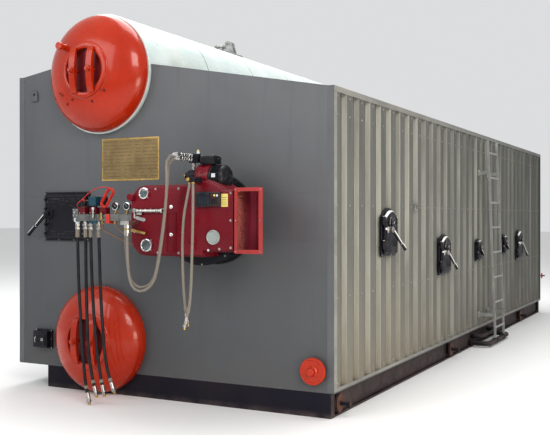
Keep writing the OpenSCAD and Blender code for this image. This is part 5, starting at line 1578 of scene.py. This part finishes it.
def add_roof_seams():
    s = Shape().use(GREY)
    right = [(-98, 2803.9), (1526, 2510.1), (1526, 2524), (-98, 2818)]
    left = [(-1526, 2790.1), (-1124, 2856.5), (-1124, 2870), (-1526, 2804)]
    for k in range(SEAM_COUNT):
        y = SEAM_FIRST - HALF_L + SEAM_PITCH * k
        for outline in (right, left):
            s.prism(outline, y, y + SEAM_W, FLAT)
    piece(s, "roof_seams", bevel=1.5)


def add_corner_plates():
    s = Shape().use(TRIM)
    for mirror_x, eave in ((1, EAVE_RIGHT), (-1, EAVE_LEFT)):
        for mirror_y in (1, -1):
            at = Matrix.Diagonal((mirror_x, mirror_y, 1, 1))
            for z0, z1 in ((200, 228), (eave - 44, eave + 2)):
                s.box((HALF_W - 55, HALF_L, z0), (HALF_W + 2, HALF_L + 2, z1), at)
                s.box((HALF_W, HALF_L - 55, z0), (HALF_W + 2.6, HALF_L, z1), at)
    piece(s, "corner_plates")


# What the screws of the furnace side keep clear of: place, half width and half height
CLEAR = [(*spot, size[0] / 2 + 40, size[1] / 2 + 20) for spots, size in ((DOORS, DOOR), (PORTS, PORT))
         for spot in spots.values()]


def add_screws():
    """Screws on the rib crests of both long sides."""
    s = Shape().use(ZINC)
    screw = [(0, 0), (9, 0), (9, 1.6), (5.5, 2), (5.5, 5.5), (0, 6)]
    for along, z in grid([RIB_PITCH * i + RIB_FIRST for i in range(RIB_COUNT)], SCREW_ROWS):
        if not any(abs(along - a) < w and abs(z - b) < h for a, b, w, h in CLEAR):
            s.lathe(screw, within(side(along, z)), 8)
        left = Matrix(((0, 0, -1, 4 - HALF_W), (1, 0, 0, along - HALF_L), (0, 1, 0, z), (0, 0, 0, 1)))
        s.lathe(screw, left, 8)
    piece(s, "cladding_screws")


def add_plate_bolts():
    """Ring of bolts on the plate that carries the burner."""
    s = Shape(BURNER).use(BLACK)
    for k in range(PLATE_BOLTS):
        a = math.radians(360 / PLATE_BOLTS * k + 11)
        s.bolt(PLATE_BOLT_CIRCLE * math.cos(a), PLATE_BOLT_CIRCLE * math.sin(a), 23.8, 8)
    piece(s, "burner_plate_bolts")


def add_trunnion_rings():
    """Rusty face, welds and cap of the six lifting trunnions on the skid."""
    s = Shape()
    for along in TRUNNIONS:
        for x, way in ((1540, RIGHT), (-1229, LEFT)):
            at = shift(x, along - HALF_L, TRUNNION_Z) @ way
            s.use(RUST).rod(70.5, 12, 15.5, at, 56, 1)
            s.use(SKID).torus(72, 4, 1.5, at, 56, 8)
            s.torus(18, 3.5, 15, at, 32, 8)
            s.lathe([(0, 92), (20, 92), (22, 94), (22, 99), (18, 101), (0, 101)], at, 32)
    piece(s, "trunnion_welds", bevel=1)


def add_floor():
    bpy.ops.mesh.primitive_plane_add(size=1, location=(0, 0, -FLOOR_DROP))
    floor = bpy.context.object
    floor.name = "studio_floor"
    floor.scale = (FLOOR_SIZE, FLOOR_SIZE, 1)
    floor.data.materials.append(FLOOR)


# The bolts' turns are drawn in this order
for build in (add_camera, add_studio, add_hoses, dress_nodes, add_front_heads, add_rear_heads_and_manways,
              add_burner_body, add_fan, add_intake, add_guard, add_motor, add_pump, add_panel, add_sights,
              add_manifold, add_valves, add_gauges, add_cable, add_frames, add_doors, add_ports, add_access,
              add_header_cap, add_cleanout, add_maker_plate, add_side_bracket, add_wall_lug, add_ladder,
              add_corner_valve, add_drains, add_drum_top, add_jacket_bands, add_roof_seams, add_corner_plates,
              add_screws, add_plate_bolts, add_trunnion_rings, add_floor):
    build()
